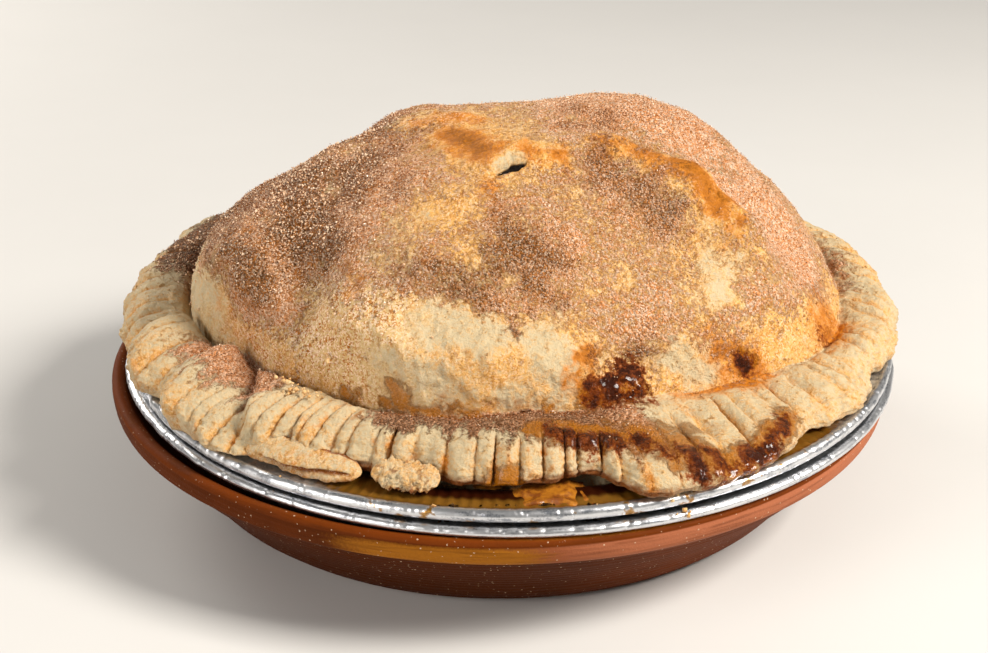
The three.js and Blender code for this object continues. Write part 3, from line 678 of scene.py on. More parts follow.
def foil_finish():
    """Bright crinkled foil with painted reflection streaks along the rim, stained amber where juice has baked
    on it, and painted shade under the front of the crust.
    """
    f = Finish("crinkled_foil")
    stain = f.layer("stain")
    crinkle = f.noise(2.2, detail=3, roughness=0.6)
    scratch = f.noise(0.7, detail=2)
    # Painted reflection: streaks of darker and brighter foil along the rim.
    colour = f.blend((f.layer("painted_reflection") + scratch * 0.5 - 0.25).above(0.2, 0.5), FOIL_DARK_REFLECTION, FOIL_SILVER)
    colour = f.blend((stain + crinkle * 0.6 - 0.3).above(0.15, 0.7), colour, FOIL_AMBER)
    # Painted shade: the flange under the crust's front is darkened to the colour of burnt juice.
    colour = f.blend((f.layer("shade") + crinkle * 0.5 - 0.25).above(0.2, 0.9), colour, BURNT_JUICE_AND_SHADE)
    return f.set(base_color=colour, metallic=1 - stain * 0.35, roughness=0.28 + crinkle * 0.16,
                 normal=f.bump(crinkle * 0.8 + scratch * 0.1, 0.17, 0.8))


def clay_finish():
    """Unglazed clay with throwing lines and pale specks, ochre under the rim, with painted shade below,
    inside and on the left, and painted light on the upper right of the outside.
    """
    f = Finish("fired_clay")
    blush, lines, shade, painted_light = [f.layer(name) for name in ("blush", "lines", "shade", "painted_light")]
    broad, fine = f.noise(16), f.noise(0.8, detail=4)
    ring = f.noise(1.4, detail=2, stretch=(0.06, 0.06, 1.0))
    # Painted light: the right of the outside is lit clay colour.
    colour = f.blend((painted_light + broad * 0.4 - 0.2).above(0.1, 0.9), CLAY_RED, CLAY_LIT)
    # Painted shade: darker clay below the rim, inside and on the left.
    colour = f.blend((shade + broad * 0.4 - 0.2).above(0.1, 0.9), colour, CLAY_DARK)
    colour = f.blend((blush + fine * 0.5 + ring * 0.5 - 0.5).above(0.15, 0.8), colour, CLAY_OCHRE)
    colour = f.blend(ring.above(0.5, 0.7) * 0.35, colour, CLAY_DARK)
    speck = (1 - f.cells(1.7)).above(0.8, 0.88) * fine.above(0.5, 0.6)
    colour = f.blend(speck, colour, CLAY_SPECK)
    return f.set(base_color=colour, roughness=0.45 + fine * 0.25, specular_ior_level=0.04,
                 normal=f.bump(fine * 0.7 + lines * 0.5 + ring * 0.8, 0.3, 0.8))


def crystal_finish(name, colours, roughness):
    """Grains or crumbs whose colour drifts between two."""
    f = Finish(name)
    tint = f.noise(2.0)
    return f.set(base_color=f.blend(tint.above(0.35, 0.65), *colours), roughness=roughness + tint * 0.1,
                 specular_ior_level=0.6 - roughness, normal=f.bump(f.noise(0.3), 0.05, 0.3))


def juice_finish():
    """Caramelised juice, amber to dark brown."""
    f = Finish("caramel_juice")
    swirl = f.noise(3.0, detail=4)
    colour = f.blend(swirl.above(0.35, 0.65), *CARAMEL)
    return f.set(base_color=colour, roughness=0.16 + swirl * 0.1, coat_weight=0.6, coat_roughness=0.06,
                 normal=f.bump(swirl + f.noise(0.9) * 0.3, 0.4, 0.6))


def floor_finish():
    f = Finish("pale_floor")
    tint = f.noise(90)
    return f.set(base_color=f.blend(tint, *FLOOR_GREY), roughness=0.75, normal=f.bump(tint, 0.2, 0.1))


# Where the crust is sugared, pale, browned, burnt or wet: lines through the places, reach and strength
HEAVY_SUGAR = [
    ((-70, -30, 92), (-56, -44, 92), 9, 1.0), ((-40, 10, 112), (-62, 14, 104), 11, 0.9),
    ((-67, -14, 104), (-64, -34, 92), 13, 1.0), ((-46, -8, 108), (-50, -25, 104), 9, 0.9),
    ((-86, -28, 85), (-80, -41, 80), 7, 1.0), ((-55, 18, 104), (-86, 8, 84), 18, 0.9),
    ((28, -24, 112), (44, -34, 100), 8, 0.75), ((0, -55, 99), (8, -60, 93), 7, 0.9),
    ((-6, -60, 97), (6, -66, 87), 6, 0.8), ((-22, -68, 92), (-8, -70, 88), 6, 0.75),
    ((-3, -72, 88), (-1, -78, 78), 2.5, 0.8), ((-35, -66, 94), (-25, -66, 93), 6, 0.6),
    ((21, 8, 117), (28, 5, 116), 5, 0.6), ((20, 0, 117), (26, -4, 117), 4, 0.6),
    ((-36, -22, 109), (-36, -34, 106), 6, 0.6), ((24, -76, 64), (33, -71, 63), 5, 0.9),
    ((38, -70, 66), (46, -66, 62), 6, 0.6),
]
THIN_SUGAR = [
    ((-27, -76, 82), (-9, -79, 79), 5.2, 1.15), ((6, -78, 76), (13, -80, 66), 6.5, 1.0),
    ((-3, -86, 61), (11, -83, 61), 4, 0.7), ((-42, -82, 70), (-24, -87, 62), 8, 0.8),
    ((-57, -70, 70), (-48, -78, 70), 7, 0.7), ((-102, -6, 68), (-98, -27, 64), 8, 1.1),
    ((48, -67, 65), (54, -66, 59), 4.5, 0.9), ((75, -52, 64), (85, -48, 58), 6, 0.6),
    ((60, -40, 88), (58, -50, 80), 7, 0.6), ((-26, -46, 106), (-12, -62, 98), 9, 0.35),
    ((26, -15, 116), (54, -22, 109), 5, 0.6), ((54, -22, 109), (67, -31, 90), 6, 0.8),
    ((-20, -2, 114), (-9, -23, 114), 7, 0.9), ((4, -23, 114), (13, -22, 112), 4, 0.7),
    ((-33, 10, 114), (-14, 7, 115), 5, 0.7), ((93, -36, 59), (99, -30, 54), 5, 0.7),
    ((-25, -90, 58), (5, -90, 58), 5, 0.8), ((56, -60, 70), (60, -60, 66), 5, 0.5),
    ((-87, -38, 61), (-77, -51, 60), 5, 0.7), ((-77, -51, 60), (-68, -61, 60), 5, 0.6),
    ((-42, -82, 65), (-10, -88, 62), 7, 1.0), ((-10, -88, 62), (13, -85, 60), 5, 1.0),
]
PALE_PLACES = [
    ((-27, -76, 82), (-9, -79, 79), 5.2, 1.1), ((6, -78, 76), (13, -80, 66), 6.5, 0.9),
    ((-3, -86, 61), (11, -83, 61), 4, 0.6), ((-40, -83, 68), (-24, -87, 62), 7, 0.9),
    ((-102, -6, 68), (-98, -27, 64), 9, 1.0), ((48, -67, 65), (54, -66, 59), 4.5, 1.0),
    ((60, -42, 86), (58, -50, 80), 6, 0.7), ((96, -20, 64), (92, -26, 66), 5, 0.4),
]
BROWNED = [
    ((26, -15, 116), (54, -22, 109), 5, 0.8), ((54, -22, 109), (67, -31, 90), 4.5, 1.15),
    ((67, -31, 90), (74, -40, 74), 4, 0.8), ((-20, -2, 114), (-9, -23, 114), 6, 0.95),
    ((4, -23, 114), (13, -22, 112), 4, 0.8), ((-9, -38, 108), (-5, -43, 106), 4, 0.7),
    ((-33, 10, 114), (-14, 7, 115), 5, 0.7), ((93, -36, 59), (99, -30, 54), 5, 0.9),
    ((93, -25, 68), (98, -28, 57), 5, 0.8), ((84, -16, 86), (96, -22, 66), 7, 0.5),
    ((17, -80, 64), (21, -82, 58), 3.5, 1.1), ((20, -76, 72), (17, -80, 66), 2.5, 0.9),
    ((62, -60, 64), (69, -59, 57), 5.5, 0.9), ((-20, -88, 58), (0, -88, 58), 4, 0.35),
    ((56, -60, 70), (60, -60, 66), 4, 0.7), ((40, 12, 119), (62, 14, 110), 10, 0.6),
    ((-52, -54, 92), (-46, -64, 88), 4, 0.6), ((-88, -36, 66), (-80, -44, 66), 7, 0.5),
]
GLAZED_PLACES = [
    ((-57, -52, 84), (-40, -75, 82), 9, 0.8), ((-60, -62, 73), (-46, -77, 65), 8, 1.0),
    ((-84, -40, 66), (-78, -50, 62), 8, 0.7), ((-40, -82, 62), (-30, -87, 60), 4, 0.6),
    ((-45, 14, 112), (-20, 12, 115), 6, 0.5), ((-98, -27, 62), (-94, -32, 60), 6, 0.5),
]
BURNT = [
    ((65, -57.5, 60.5), (68, -58, 58.5), 2.0, 1.0), ((95, -34, 56), (92, -36, 56), 3.0, 0.6),
    ((22, -78, 60), (33, -73, 62), 3.2, 1.0), ((28, -79, 58), (36, -77, 57), 2.5, 0.7),
    ((8, -102, 60), (22, -102, 57), 2.6, 0.85), ((22, -102, 57), (33, -100, 55), 3.2, 1.0),
    ((33, -101, 55), (46, -107, 53), 3.0, 0.9), ((48, -110, 53), (60, -110, 50), 3.6, 1.0),
    ((62, -107, 50), (69, -98, 51), 3.0, 1.0), ((70, -95, 52), (76, -84, 53), 2.0, 0.8),
]
WET = [
    ((-36, -84, 65), (-34, -85, 60), 3.0, 0.9), ((-52, -75, 60.5), (-46, -78, 60), 2.6, 0.75),
    ((-50, -56, 91), (-46, -64, 88), 3.0, 0.45), ((18, -81, 60), (36, -76, 60), 3.5, 0.75),
    ((6, -101, 60), (34, -99, 56), 4.4, 1.0), ((34, -99, 55.5), (46, -105, 54), 5.5, 1.1),
    ((46, -106, 54), (60, -109, 50), 5.5, 1.1), ((60, -108, 50), (77, -83, 53), 4.2, 0.9),
    ((65, -57.5, 60.5), (68, -58, 58.5), 2.4, 0.9), ((-38, -83, 60), (-26, -86, 57), 2.2, 0.8),
    ((-20, -2, 114), (-9, -23, 114), 5, 0.4), ((-8, -113, 50), (-3, -114, 50), 3, 0.8),
    ((54, -22, 109), (67, -31, 90), 4, 0.4), ((24, -92, 57), (52, -92, 54), 4, 0.5),
]
FINE_SUGAR = [
    ((-82, -44, 71), (-74, -49, 75), 5, 0.4), ((-50, -47, 95), (-34, -50, 101), 7, 0.25),
    ((60, 10, 112), (84, -14, 92), 15, 0.5), ((78, 0, 100), (92, -14, 78), 12, 0.5),
    ((70, -50, 72), (62, -56, 66), 6, 0.3), ((20, 20, 117), (50, 8, 114), 12, 0.4),
]
COARSE_SUGAR = [
    ((-60, 10, 104), (-64, -40, 98), 18, 1.0), ((-60, -60, 78), (-40, -74, 82), 12, 0.8),
    ((-100, -12, 72), (-90, 14, 82), 12, 0.8), ((-110, 24, 60), (-100, 44, 60), 12, 0.7),
    ((-78, -48, 68), (-58, -64, 70), 9, 0.7),
]


def spread(points, places, wander_mm=2.5, seed=40):
    """Strength of a list of places at each point, with wandering edges."""
    wander = 1.8 * wander_mm * (2 * mottle(points, 5.0, seed) - 1)
    total = 0
    for start, end, reach, strength in places:
        away = np.maximum(line_distance(points, start, end) + wander, 0)
        total = np.maximum(total, strength * np.exp(-0.5 * (away / reach) ** 2))
    return total


def vent_place(x, y):
    """Place along the slit and across it to its far side, from its middle."""
    offset = np.stack([x, y], -1) - VENT_MIDDLE
    return offset @ VENT_ALONG, offset @ np.array([-VENT_ALONG[1], VENT_ALONG[0]])


def vent_section(along):
    """Section across the slit at places along it: distance across, rise above the dome, pale, and hollow,
    where the slit's depths are painted dark as shade.
    """
    t = along / VENT_LENGTH + 0.5
    open_share = np.sin(np.pi * np.clip(t, 0, 1))
    fade = within(0.0, 1.0, 0.15, t)
    ragged = 1 + 0.2 * np.sin(11 * t + 1) + 0.12 * np.sin(23 * t)
    half = 0.5 * VENT_WIDTH * open_share**0.45 * (0.7 + 0.6 * t) * ragged
    depth = VENT_DEPTH * np.clip(1.8 * open_share, 0, 1)
    lip = VENT_LIP * fade * (0.7 + 0.4 * open_share) * ragged**0.5
    slit = np.clip(4 * open_share, 0, 1)
    parts = []
    for share in np.linspace(0, 1, 40):
        across = -VENT_PATCH[1] + share * (VENT_PATCH[1] - half)
        parts.append((across, -0.7 * fade * np.exp(-(((across + half) / 2.5) ** 2)), 0 * t, 0 * t))
    for share in np.linspace(0.1, 1, 8):
        parts.append((-half + 0.12 * half * share, -0.7 * fade - (depth - 0.7 * fade) * share, 0 * t, slit))
    for share in np.linspace(0.15, 0.9, 5):
        parts.append((-0.88 * half + 1.76 * half * share, -depth, 0 * t, slit))
    for share in np.linspace(0, 1, 30):
        rise = -depth + (depth + 0.92 * lip) * share
        parts.append((half * (0.9 + 0.1 * share) + 0.35 * lip * share**3, rise, open_share**0.3 + 0 * t,
                      slit * (1 - ease(-2.0, -1.3, rise))))
    for share in np.linspace(0.02, 1, 44) ** 1.3:
        across = half + 0.35 * lip + share * (VENT_PATCH[1] - half - 0.35 * lip)
        away = across - half - 0.9
        parts.append((across, lip * np.exp(-((away / 3.4) ** 2)), np.exp(-((away / 0.8) ** 2)) * fade, 0 * t))
    return [np.array(column) for column in zip(*parts)]


def vent_patch(surface):
    """Finely meshed slit with its puffed far lip; returns how hollow each vertex is, which paints shade in
    the slit, and how pale.
    """
    along = np.linspace(-VENT_PATCH[0], VENT_PATCH[0], 131)
    across, rise, pale, hollow = vent_section(along)
    along = along + 0 * across
    border = np.maximum(np.maximum(np.abs(along) - VENT_PATCH[0], np.abs(across) - VENT_PATCH[1]) + 1, 0)
    x = VENT_MIDDLE[0] + along * VENT_ALONG[0] - across * VENT_ALONG[1]
    y = VENT_MIDDLE[1] + along * VENT_ALONG[1] + across * VENT_ALONG[0]
    deg = np.degrees(np.arctan2(y, x))
    points = dome_at(deg, np.hypot(x, y) / around(deg, RIM, 1))
    points[..., 2] += rise - 0.3 * border
    rows = surface.add(points)
    surface.quads(rows[::-1], closed=False)
    return hollow.ravel(), (pale * (1 - hollow)).ravel()


def crust_shell(surface):
    """Fine dome, rim and vent; returns for each vertex how far across the rim it is, and other places.

    On the dome the first value runs from -1 in the middle to 0 at the crease.
    """
    deg, span, groove = groove_columns()
    rows_across = np.concatenate([np.linspace(0, 1.12, RIM_ROWS), np.linspace(1.16, 2, UNDER_ROWS)])
    rim, across, cut = rim_points(deg, span, groove, rows_across)
    dome_deg = deg + 0.6 * around(deg, GROOVE_LEAN, 1)
    share = 1 - (1 - np.linspace(0, 1, DOME_ROWS + 2)[1:-1, None]) ** 1.35
    crease_r = around(dome_deg, RIM, 1)
    dome = dome_at(dome_deg + 0 * share, share + 0 * dome_deg)
    nominal = polar(share * crease_r, dome_deg + 0 * share, 0)
    along_slit, across_slit = vent_place(nominal[..., 0], nominal[..., 1])
    outside = (np.abs(along_slit) > VENT_PATCH[0] - 2) | (np.abs(across_slit) > VENT_PATCH[1] - 2)
    rows = surface.add(np.concatenate([dome, rim]))
    keep = np.ones(len(surface.points), bool)
    keep[rows[:DOME_ROWS]] = outside
    surface.quads(rows, keep=keep)
    surface.fan(rows[0], dome[0].mean(0), True)
    floor_r = tin_side_r(10) - TIN_CLEARANCE - 2
    floor_points = polar(np.full(len(deg), floor_r), deg, PIE_FLOOR_Z)
    floor_ring = surface.add(floor_points + np.array([INNER_TIN_X, 0, 0]))
    surface.quads(np.stack([rows[-1], floor_ring]))
    surface.fan(floor_ring, (INNER_TIN_X, 0, PIE_FLOOR_Z), False)
    shell = len(surface.points)
    hollow, pale = vent_patch(surface)
    total = len(surface.points)
    place, groove_share = np.full(total, -0.5), np.zeros(total)
    slit, lip = np.zeros(total), np.zeros(total)
    place[rows[DOME_ROWS:]] = across
    place[rows[:DOME_ROWS]] = share - 1.0001
    place[floor_ring] = 2.0
    groove_share[rows[DOME_ROWS:]] = cut
    slit[shell:], lip[shell:] = hollow, pale
    return {"place": place, "groove": groove_share, "hollow": slit, "lip": lip}


# Sugar on the rim's inner top: first and last compass angle, softness, start and end of its fading, strength
RIM_SUGAR = [
    (244, 292, 4, 0.5, 0.8, 1.15), (134, 172, 9, 0.55, 0.95, 1.1), (200, 226, 3, 0.45, 0.8, 1.05),
    (55, 128, 12, 0.3, 0.8, 0.6),
]


def rim_sugar(deg, place, ragged):
    """Sugar on the rim, most at the front and the back left, with a little at the right."""
    place = place - 0.5 * (ragged - 0.5)
    total = (1 - ease(10, 45, deg)) * (deg < 90) * (1 - ease(0.3, 0.8, place)) * 0.5
    total = total + ease(296, 310, deg) * (1 - ease(0.0, 0.35, place)) * 0.3
    for first, last, soft, full, gone, strength in RIM_SUGAR:
        total = total + within(first, last, soft, deg) * (1 - ease(full, gone, place)) * strength
    return total


def crust_layers(points, shell):
    """Sugar, browning, burning and wetness at each vertex, with painted shade in the rim's grooves."""
    place, groove = shell["place"], shell["groove"]
    deg = compass(points)
    on_dome = place < 0
    patchy = mottle(points, 10.0, 51)
    small = mottle(points, 3.4, 52)
    heavy = spread(points, HEAVY_SUGAR, 5.0, 43)
    char = spread(points, BURNT, 2.6, 45)
    wet = spread(points, WET, 2.4, 47)
    glaze = spread(points, GLAZED_PLACES, 4.0, 53) * on_dome
    bake = spread(points, BROWNED, 3.6, 49)
    near_crease = ease(-0.12, 0.0, place) * on_dome
    sugar = 0.44 + 0.9 * (patchy - 0.5) - 0.85 * spread(points, THIN_SUGAR, 3.0, 41) + 0.6 * heavy
    sugar = sugar + spread(points, FINE_SUGAR, 4.0, 56) - 0.3 * glaze
    sugar = sugar * (1 - 0.75 * near_crease * (deg > 225))
    streak = mottle(np.stack([deg * 1.5, place * 4.5, 0 * deg], -1), 2.2, 57)
    sugar = np.where(on_dome, sugar, rim_sugar(deg, place, streak) * (0.1 + streak + 0.5 * small))
    heavy = np.where(on_dome, heavy, 0.35 + 0.6 * within(134, 172, 9, deg) + 0.4 * within(244, 288, 5, deg))
    gold = 0.66 + 0.9 * (patchy - 0.5) - 0.9 * spread(points, PALE_PLACES, 3.0, 55)
    edge_gold = within(0.75, 1.1, 0.15, place) * small
    on_right = (deg > 300) | (deg < 30)
    # The rim's grooves are painted more golden here, orange and, at the front, brown below: painted shade in
    # the crimps, coloured like light bounced between them.
    rim_gold = 0.3 * patchy - 0.22 + 0.55 * groove + 0.3 * edge_gold + 0.7 * (streak - 0.5) + 0.1 * on_right
    gold = np.where(on_dome, gold, rim_gold)
    front = within(238, 290, 6, deg)
    right_inner = (ease(292, 304, deg) + (deg < 25)) * (1 - ease(0.05, 0.5, place)) * ~on_dome
    # Painted shade: orange in the rim's grooves.
    groove_painted_shade = groove * (0.5 + 0.3 * front) * (0.5 + small)
    bake = bake + np.where(on_dome, 0, groove_painted_shade + 0.7 * right_inner * ease(0.3, 0.7, patchy)
                           + 0.5 * front * ease(0.55, 0.75, streak)
                           + 0.4 * ease(0.6, 0.8, small) * ease(0.5, 0.9, place))
    under = within(1.0, 1.6, 0.12, place)
    # The brown in the front grooves is painted shade.
    rim_brown = 0.75 * under * (0.5 + 0.5 * front) + 0.5 * groove * front * ease(0.4, 0.7, small)
    brown = np.where(on_dome, 0.45 * ease(0.5, 0.9, bake), rim_brown)
    on_spill = ~on_dome * within(281, 330, 4, deg)
    char = char * (1 - on_spill * 0.6 * ease(0.42, 0.62, streak))
    wet = wet * (1 - on_spill * 0.3 * ease(0.5, 0.7, streak))
    front_crease = ease(-0.02, -0.003, place) * (1 - ease(0.04, 0.16, place)) * within(236, 288, 4, deg)
    wet = np.maximum(wet, 0.6 * front_crease * ease(0.5, 0.65, patchy))
    brown = np.maximum(brown, 0.4 * front_crease * ease(0.4, 0.6, small))
    lip, hollow = shell["lip"], shell["hollow"]
    layers = {
        "sugar": sugar * (1 - lip) * (1 - hollow), "heavy": heavy, "gold": gold * (1 - lip),
        "bake": bake * (1 - lip), "brown": brown, "char": char, "wet": wet, "hollow": hollow, "glaze": glaze,
    }
    return {name: np.clip(values, 0, 1) for name, values in layers.items()}


def crust_relief(points, shell, layers):
    """Height of the fine relief along the normal: flaky dough, blisters, sugar and crumbling edges."""
    place = shell["place"]
    on_dome = place < 0
    fine = 0.3 * (grain(points, 2.6, 61) - 0.5) + 0.3 * (grain(points, 1.3, 62) - 0.5)
    dented = on_dome * (0.9 * (mottle(points, 8.0, 72) - 0.5) + 0.5 * (mottle(points, 3.6, 73) - 0.5))
    thin = 1 - ease(0.2, 0.5, layers["sugar"])
    blister = thin * on_dome * ease(0.5, 0.68, grain(points, 2.6, 63)) * (1 - layers["wet"])
    flaky = blister * (0.5 + 0.7 * (grain(points, 1.3, 64) - 0.5))
    coarse = spread(points, COARSE_SUGAR, 4.0, 59) * on_dome
    coat = layers["sugar"] * (0.45 + 0.9 * coarse) * (mottle(points, 1.6, 65) - 0.4) * 1.1
    slope = np.array([0.84, 0.17, 0.53])
    stretched = points - 0.72 * (points @ slope)[..., None] * slope
    wrinkle = coarse * 0.9 * (np.abs(2 * grain(stretched, 4.2, 70) - 1) - 0.5)
    outer = ease(0.6, 0.95, place) * (1 - ease(1.15, 1.4, place))
    crumble = 0.8 * np.abs(2 * grain(points, 3.2, 66) - 1) ** 0.7 + 0.5 * (grain(points, 1.4, 67) - 0.5) - 0.5
    layered = outer * 0.2 * np.sin(points[:, 2] * 4.2 + 5 * grain(points, 6.0, 68))
    soft_rim = (0.8 * (mottle(points, 4.5, 69) - 0.5) + 0.5 * (mottle(points, 2.0, 74) - 0.5)) * ~on_dome
    scab = 0.7 * ease(0.55, 0.9, layers["char"]) * (0.6 + 0.8 * (grain(points, 1.8, 71) - 0.5))
    relief = fine + dented + flaky + coat + wrinkle + outer * crumble + layered + soft_rim
    still = (1 - 0.7 * layers["wet"]) * (1 - shell["hollow"]) * (1 - 0.6 * shell["lip"])
    return relief * still + scab


def lump(surface, strip, seed):
    """A torn strip of crust, thickest in the middle; returns how deep in its open fold each vertex is."""
    (first_deg, last_deg), (first_r, last_r), (first_z, last_z), width, thick = strip
    along = np.linspace(0, 1, STRIP_ROWS)[:, None]
    turn = np.arange(STRIP_COLUMNS)[None, :] * TURN / STRIP_COLUMNS
    deg = first_deg + (last_deg - first_deg) * along + 0 * turn
    r = first_r + (last_r - first_r) * along + 0 * turn
    z = first_z + (last_z - first_z) * along + 0 * turn
    taper = np.sqrt(np.maximum(0.015, 1 - np.abs(2 * along - 1) ** 3.6))
    wide = 0.5 * width * taper * np.sign(np.cos(turn)) * np.abs(np.cos(turn)) ** 0.8
    high = 0.5 * thick * taper * np.sin(turn)
    lean = 1 - 0.3 * STRIP_SLOPE
    points = polar(r + lean * wide + STRIP_SLOPE * high, deg, z - STRIP_SLOPE * wide + lean * high)
    middle = polar(r, deg, z)
    flaky = 0.3 + 2 * (last_deg - first_deg < 15)
    cracks = np.abs(2 * mottle(points, 3.4, seed + 2) - 1) ** 0.6 - 0.45
    swell = 1 + 0.5 * (mottle(points, 5.0, seed) - 0.5) + 0.3 * flaky * (mottle(points, 1.6, seed + 1) - 0.5)
    swell = swell + 0.22 * flaky * cracks
    open_side = (flaky < 1) * ease(0.15, 0.5, along) * (1 - ease(0.9, 1, along))
    lip = 0.30 + 0.5 * along + 0.2 * np.sin(9 * along)
    crease = open_side * np.exp(-(((turn - lip) / 0.32) ** 2))
    swell = swell - 0.42 * crease
    points = middle + (points - middle) * swell[..., None]
    rows = surface.add(points)
    surface.quads(rows)
    surface.fan(rows[0], points[0].mean(0), True)
    surface.fan(rows[-1], points[-1].mean(0), False)
    return np.concatenate([crease.ravel(), [0, 0]])


def torn_layers(points, crease):
    """Layers of the torn strip and the flake: golden and smooth, crumbly and pale at the flake, with painted
    shade in the strip's open fold and on its inner side next to the rim, and browner low down.
    """
    count = len(points)
    on_flake = ease(247, 249, compass(points))
    patchy, small = mottle(points, 5.0, 88), mottle(points, 2.0, 89)
    layers = {name: np.zeros(count) for name in ("sugar", "heavy", "char", "wet", "hollow", "brown", "glaze")}
    layers["gold"] = 0.2 + 0.8 * (patchy - 0.5)
    layers["glaze"] = (1 - on_flake) * 0.3 * patchy
    layers["bake"] = (1 - on_flake) * 0.5 * ease(0.5, 0.8, small) + 0.3 * on_flake * ease(0.6, 0.8, small)
    # Painted shade: the strip's inner side, in the gap by the rim, is painted brown.
    gap_shade = (1 - on_flake) * (1 - ease(111.6, 112.8, np.hypot(points[:, 0], points[:, 1])))
    cracked = on_flake * (1 - ease(0.03, 0.1, np.abs(2 * mottle(points, 4.2, 87) - 1)))
    # Brown low down is partly baked colour and partly painted shade; the open fold's brown is painted shade.
    layers["brown"] = np.maximum(0.5 * (1 - ease(47.2, 49.6, points[:, 2])) + 0.5 * cracked + gap_shade, crease)
    layers["wet"] = 0.35 * (1 - on_flake) * ease(0.5, 0.7, patchy)
    return layers


def build_crust():
    surface = Surface()
    shell = crust_shell(surface)
    layers = crust_layers(surface.points, shell)
    relief = crust_relief(surface.points, shell, layers)
    surface.points = surface.points + surface.normals() * relief[:, None]
    shell_count = len(surface.points)
    crease = np.concatenate([lump(surface, STRIP, 81), lump(surface, FLAKE, 85)])
    torn = torn_layers(surface.points[shell_count:], crease)
    surface.layers = {name: np.concatenate([layers[name], torn[name]]) for name in layers}
    crust = surface.make("crust", crust_finish(), "pie", settle)
    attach(crust, "root")
    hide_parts("pie")
    return surface, shell, shell_count


GRAINS = 24000
CRYSTAL_CORNERS = np.array([(1, 0, 0), (-1, 0, 0), (0, 1, 0), (0, -1, 0), (0, 0, 1), (0, 0, -1)], float)
CRYSTAL_FACES = np.array([
    (0, 2, 4), (2, 1, 4), (1, 3, 4), (3, 0, 4), (2, 0, 5), (1, 2, 5), (3, 1, 5), (0, 3, 5),
])


def angular_grains(centre, size):
    """Small eight-sided grains, each turned and stretched in its own way."""
    count = len(centre)
    frames = np.linalg.qr(random.normal(size=(count, 3, 3)))[0]
    stretch = size[:, None, None] * random.uniform(0.6, 1.2, (count, 1, 3))
    corners = np.einsum("nij,nkj->nki", frames, CRYSTAL_CORNERS[None] * stretch) + centre[:, None]
    grains = Surface()
    numbers = grains.add(corners)
    grains.faces.append((numbers[:, 0][:, None, None] + CRYSTAL_FACES[None]).reshape(-1, 3))
    return grains


def strew(surface, weight, count, sizes, name, material, sink):
    """Grains over the crust, thicker where the weight is higher."""
    normals = surface.normals()
    chance = np.zeros(len(surface.points))
    chance[:len(weight)] = weight
    chance *= surface.areas() * (normals[:, 2] > -0.1)
    chosen = random.choice(len(chance), count, replace=False, p=chance / chance.sum())
    size = random.uniform(*sizes, count)
    scattered = surface.points[chosen] + random.normal(0, 0.25, (count, 3))
    centre = scattered + normals[chosen] * (size * sink)[:, None]
    piece = angular_grains(centre, size).make(name, material, "pie", settle, smooth=False)
    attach(piece, "root")


def sugar_the_crust(surface, shell, shell_count):
    count = GRAINS
    sugar, heavy = surface.layers["sugar"][:shell_count], surface.layers["heavy"][:shell_count]
    dry = 1 - surface.layers["wet"][:shell_count]
    on_rim = shell["place"] > 0
    coarse = spread(surface.points[:shell_count], COARSE_SUGAR, 4.0, 59)
    clear = crystal_finish("sugar_crystals", CLEAR_SUGAR, 0.18)
    brown = crystal_finish("cinnamon_grains", CINNAMON_GRAIN, 0.5)
    sugared = sugar**1.5 * dry * (1 - 0.75 * heavy) * (1 - 0.7 * on_rim)
    crystalled = (sugar + 0.4) * coarse**2 * dry
    spiced = sugar**2 * (0.15 + heavy) * dry * (1 - 0.6 * on_rim)
    strew(surface, sugared, count, (0.12, 0.26), "sugar_grains", clear, 0.4)
    strew(surface, crystalled, count // 9, (0.22, 0.48), "coarse_sugar", clear, 0.4)
    strew(surface, spiced, count, (0.11, 0.23), "cinnamon_grains", brown, 0.35)


def spaced(start, end, count):
    return [tuple(np.array(start) + (np.array(end) - np.array(start)) * i / count) for i in range(count)]


def tin_section(tin):
    """Section of a tin from the middle of its floor, up its inside, round the rolled rim and back below."""
    floor_z, rim_r, rim_z = tin["floor_z"], tin["rim_r"], tin["rim_z"]
    half_height, wider = tin["bead_half_height"], tin["wider"]
    flange_z = rim_z + half_height - FOIL - 0.3
    top_r = TIN_FLANGE_R + wider
    start = math.degrees(math.asin(1 - 0.3 / half_height))
    turns = np.radians(np.linspace(180 - start, -115, 20))
    outline = [(TIN_MIDDLE_R, floor_z + FOIL), (TIN_FLOOR_R + wider - 0.2, floor_z + FOIL)]
    outline += spaced((TIN_SIDE_R + wider - FOIL, TIN_SIDE_Z + 0.3), (top_r - 0.7 - FOIL, flange_z - 0.8), 6)
    outline += [(top_r - 0.7 - FOIL, flange_z - 0.8)]
    outline += spaced((top_r + 0.2, flange_z + FOIL), (rim_r - 0.6 * BEAD_HALF_WIDTH, flange_z + FOIL), 9)
    bead_first = len(outline)
    outline += [(rim_r + BEAD_HALF_WIDTH * math.cos(a), rim_z + half_height * math.sin(a)) for a in turns]
    bead_last = len(outline)
    outline += spaced((rim_r - 0.95 * BEAD_HALF_WIDTH, flange_z), (top_r + 0.6, flange_z), 5)
    outline += spaced((top_r - 0.7, flange_z - 1.2), (TIN_SIDE_R + wider, TIN_SIDE_Z), 6)
    outline += [(TIN_SIDE_R + wider, TIN_SIDE_Z), (TIN_FLOOR_R + wider, floor_z), (TIN_MIDDLE_R, floor_z)]
    return np.array(outline), bead_first, bead_last


def bead_creases(deg, phase, seed):
    """Sharp creases across a rolled rim, from 0 to about 1, at random places and slants."""
    draw = np.random.default_rng(seed)
    total = 0 * deg
    for _ in range(BEAD_CREASES):
        middle, slant, width = draw.uniform(0, 360), draw.normal(0, 1.0), draw.uniform(0.12, 0.4)
        depth = draw.uniform(0.2, 1.0)
        away = np.mod(deg - middle - slant * phase + 180, 360) - 180
        total = np.maximum(total, depth * np.exp(-((away / width) ** 2)))
    return total


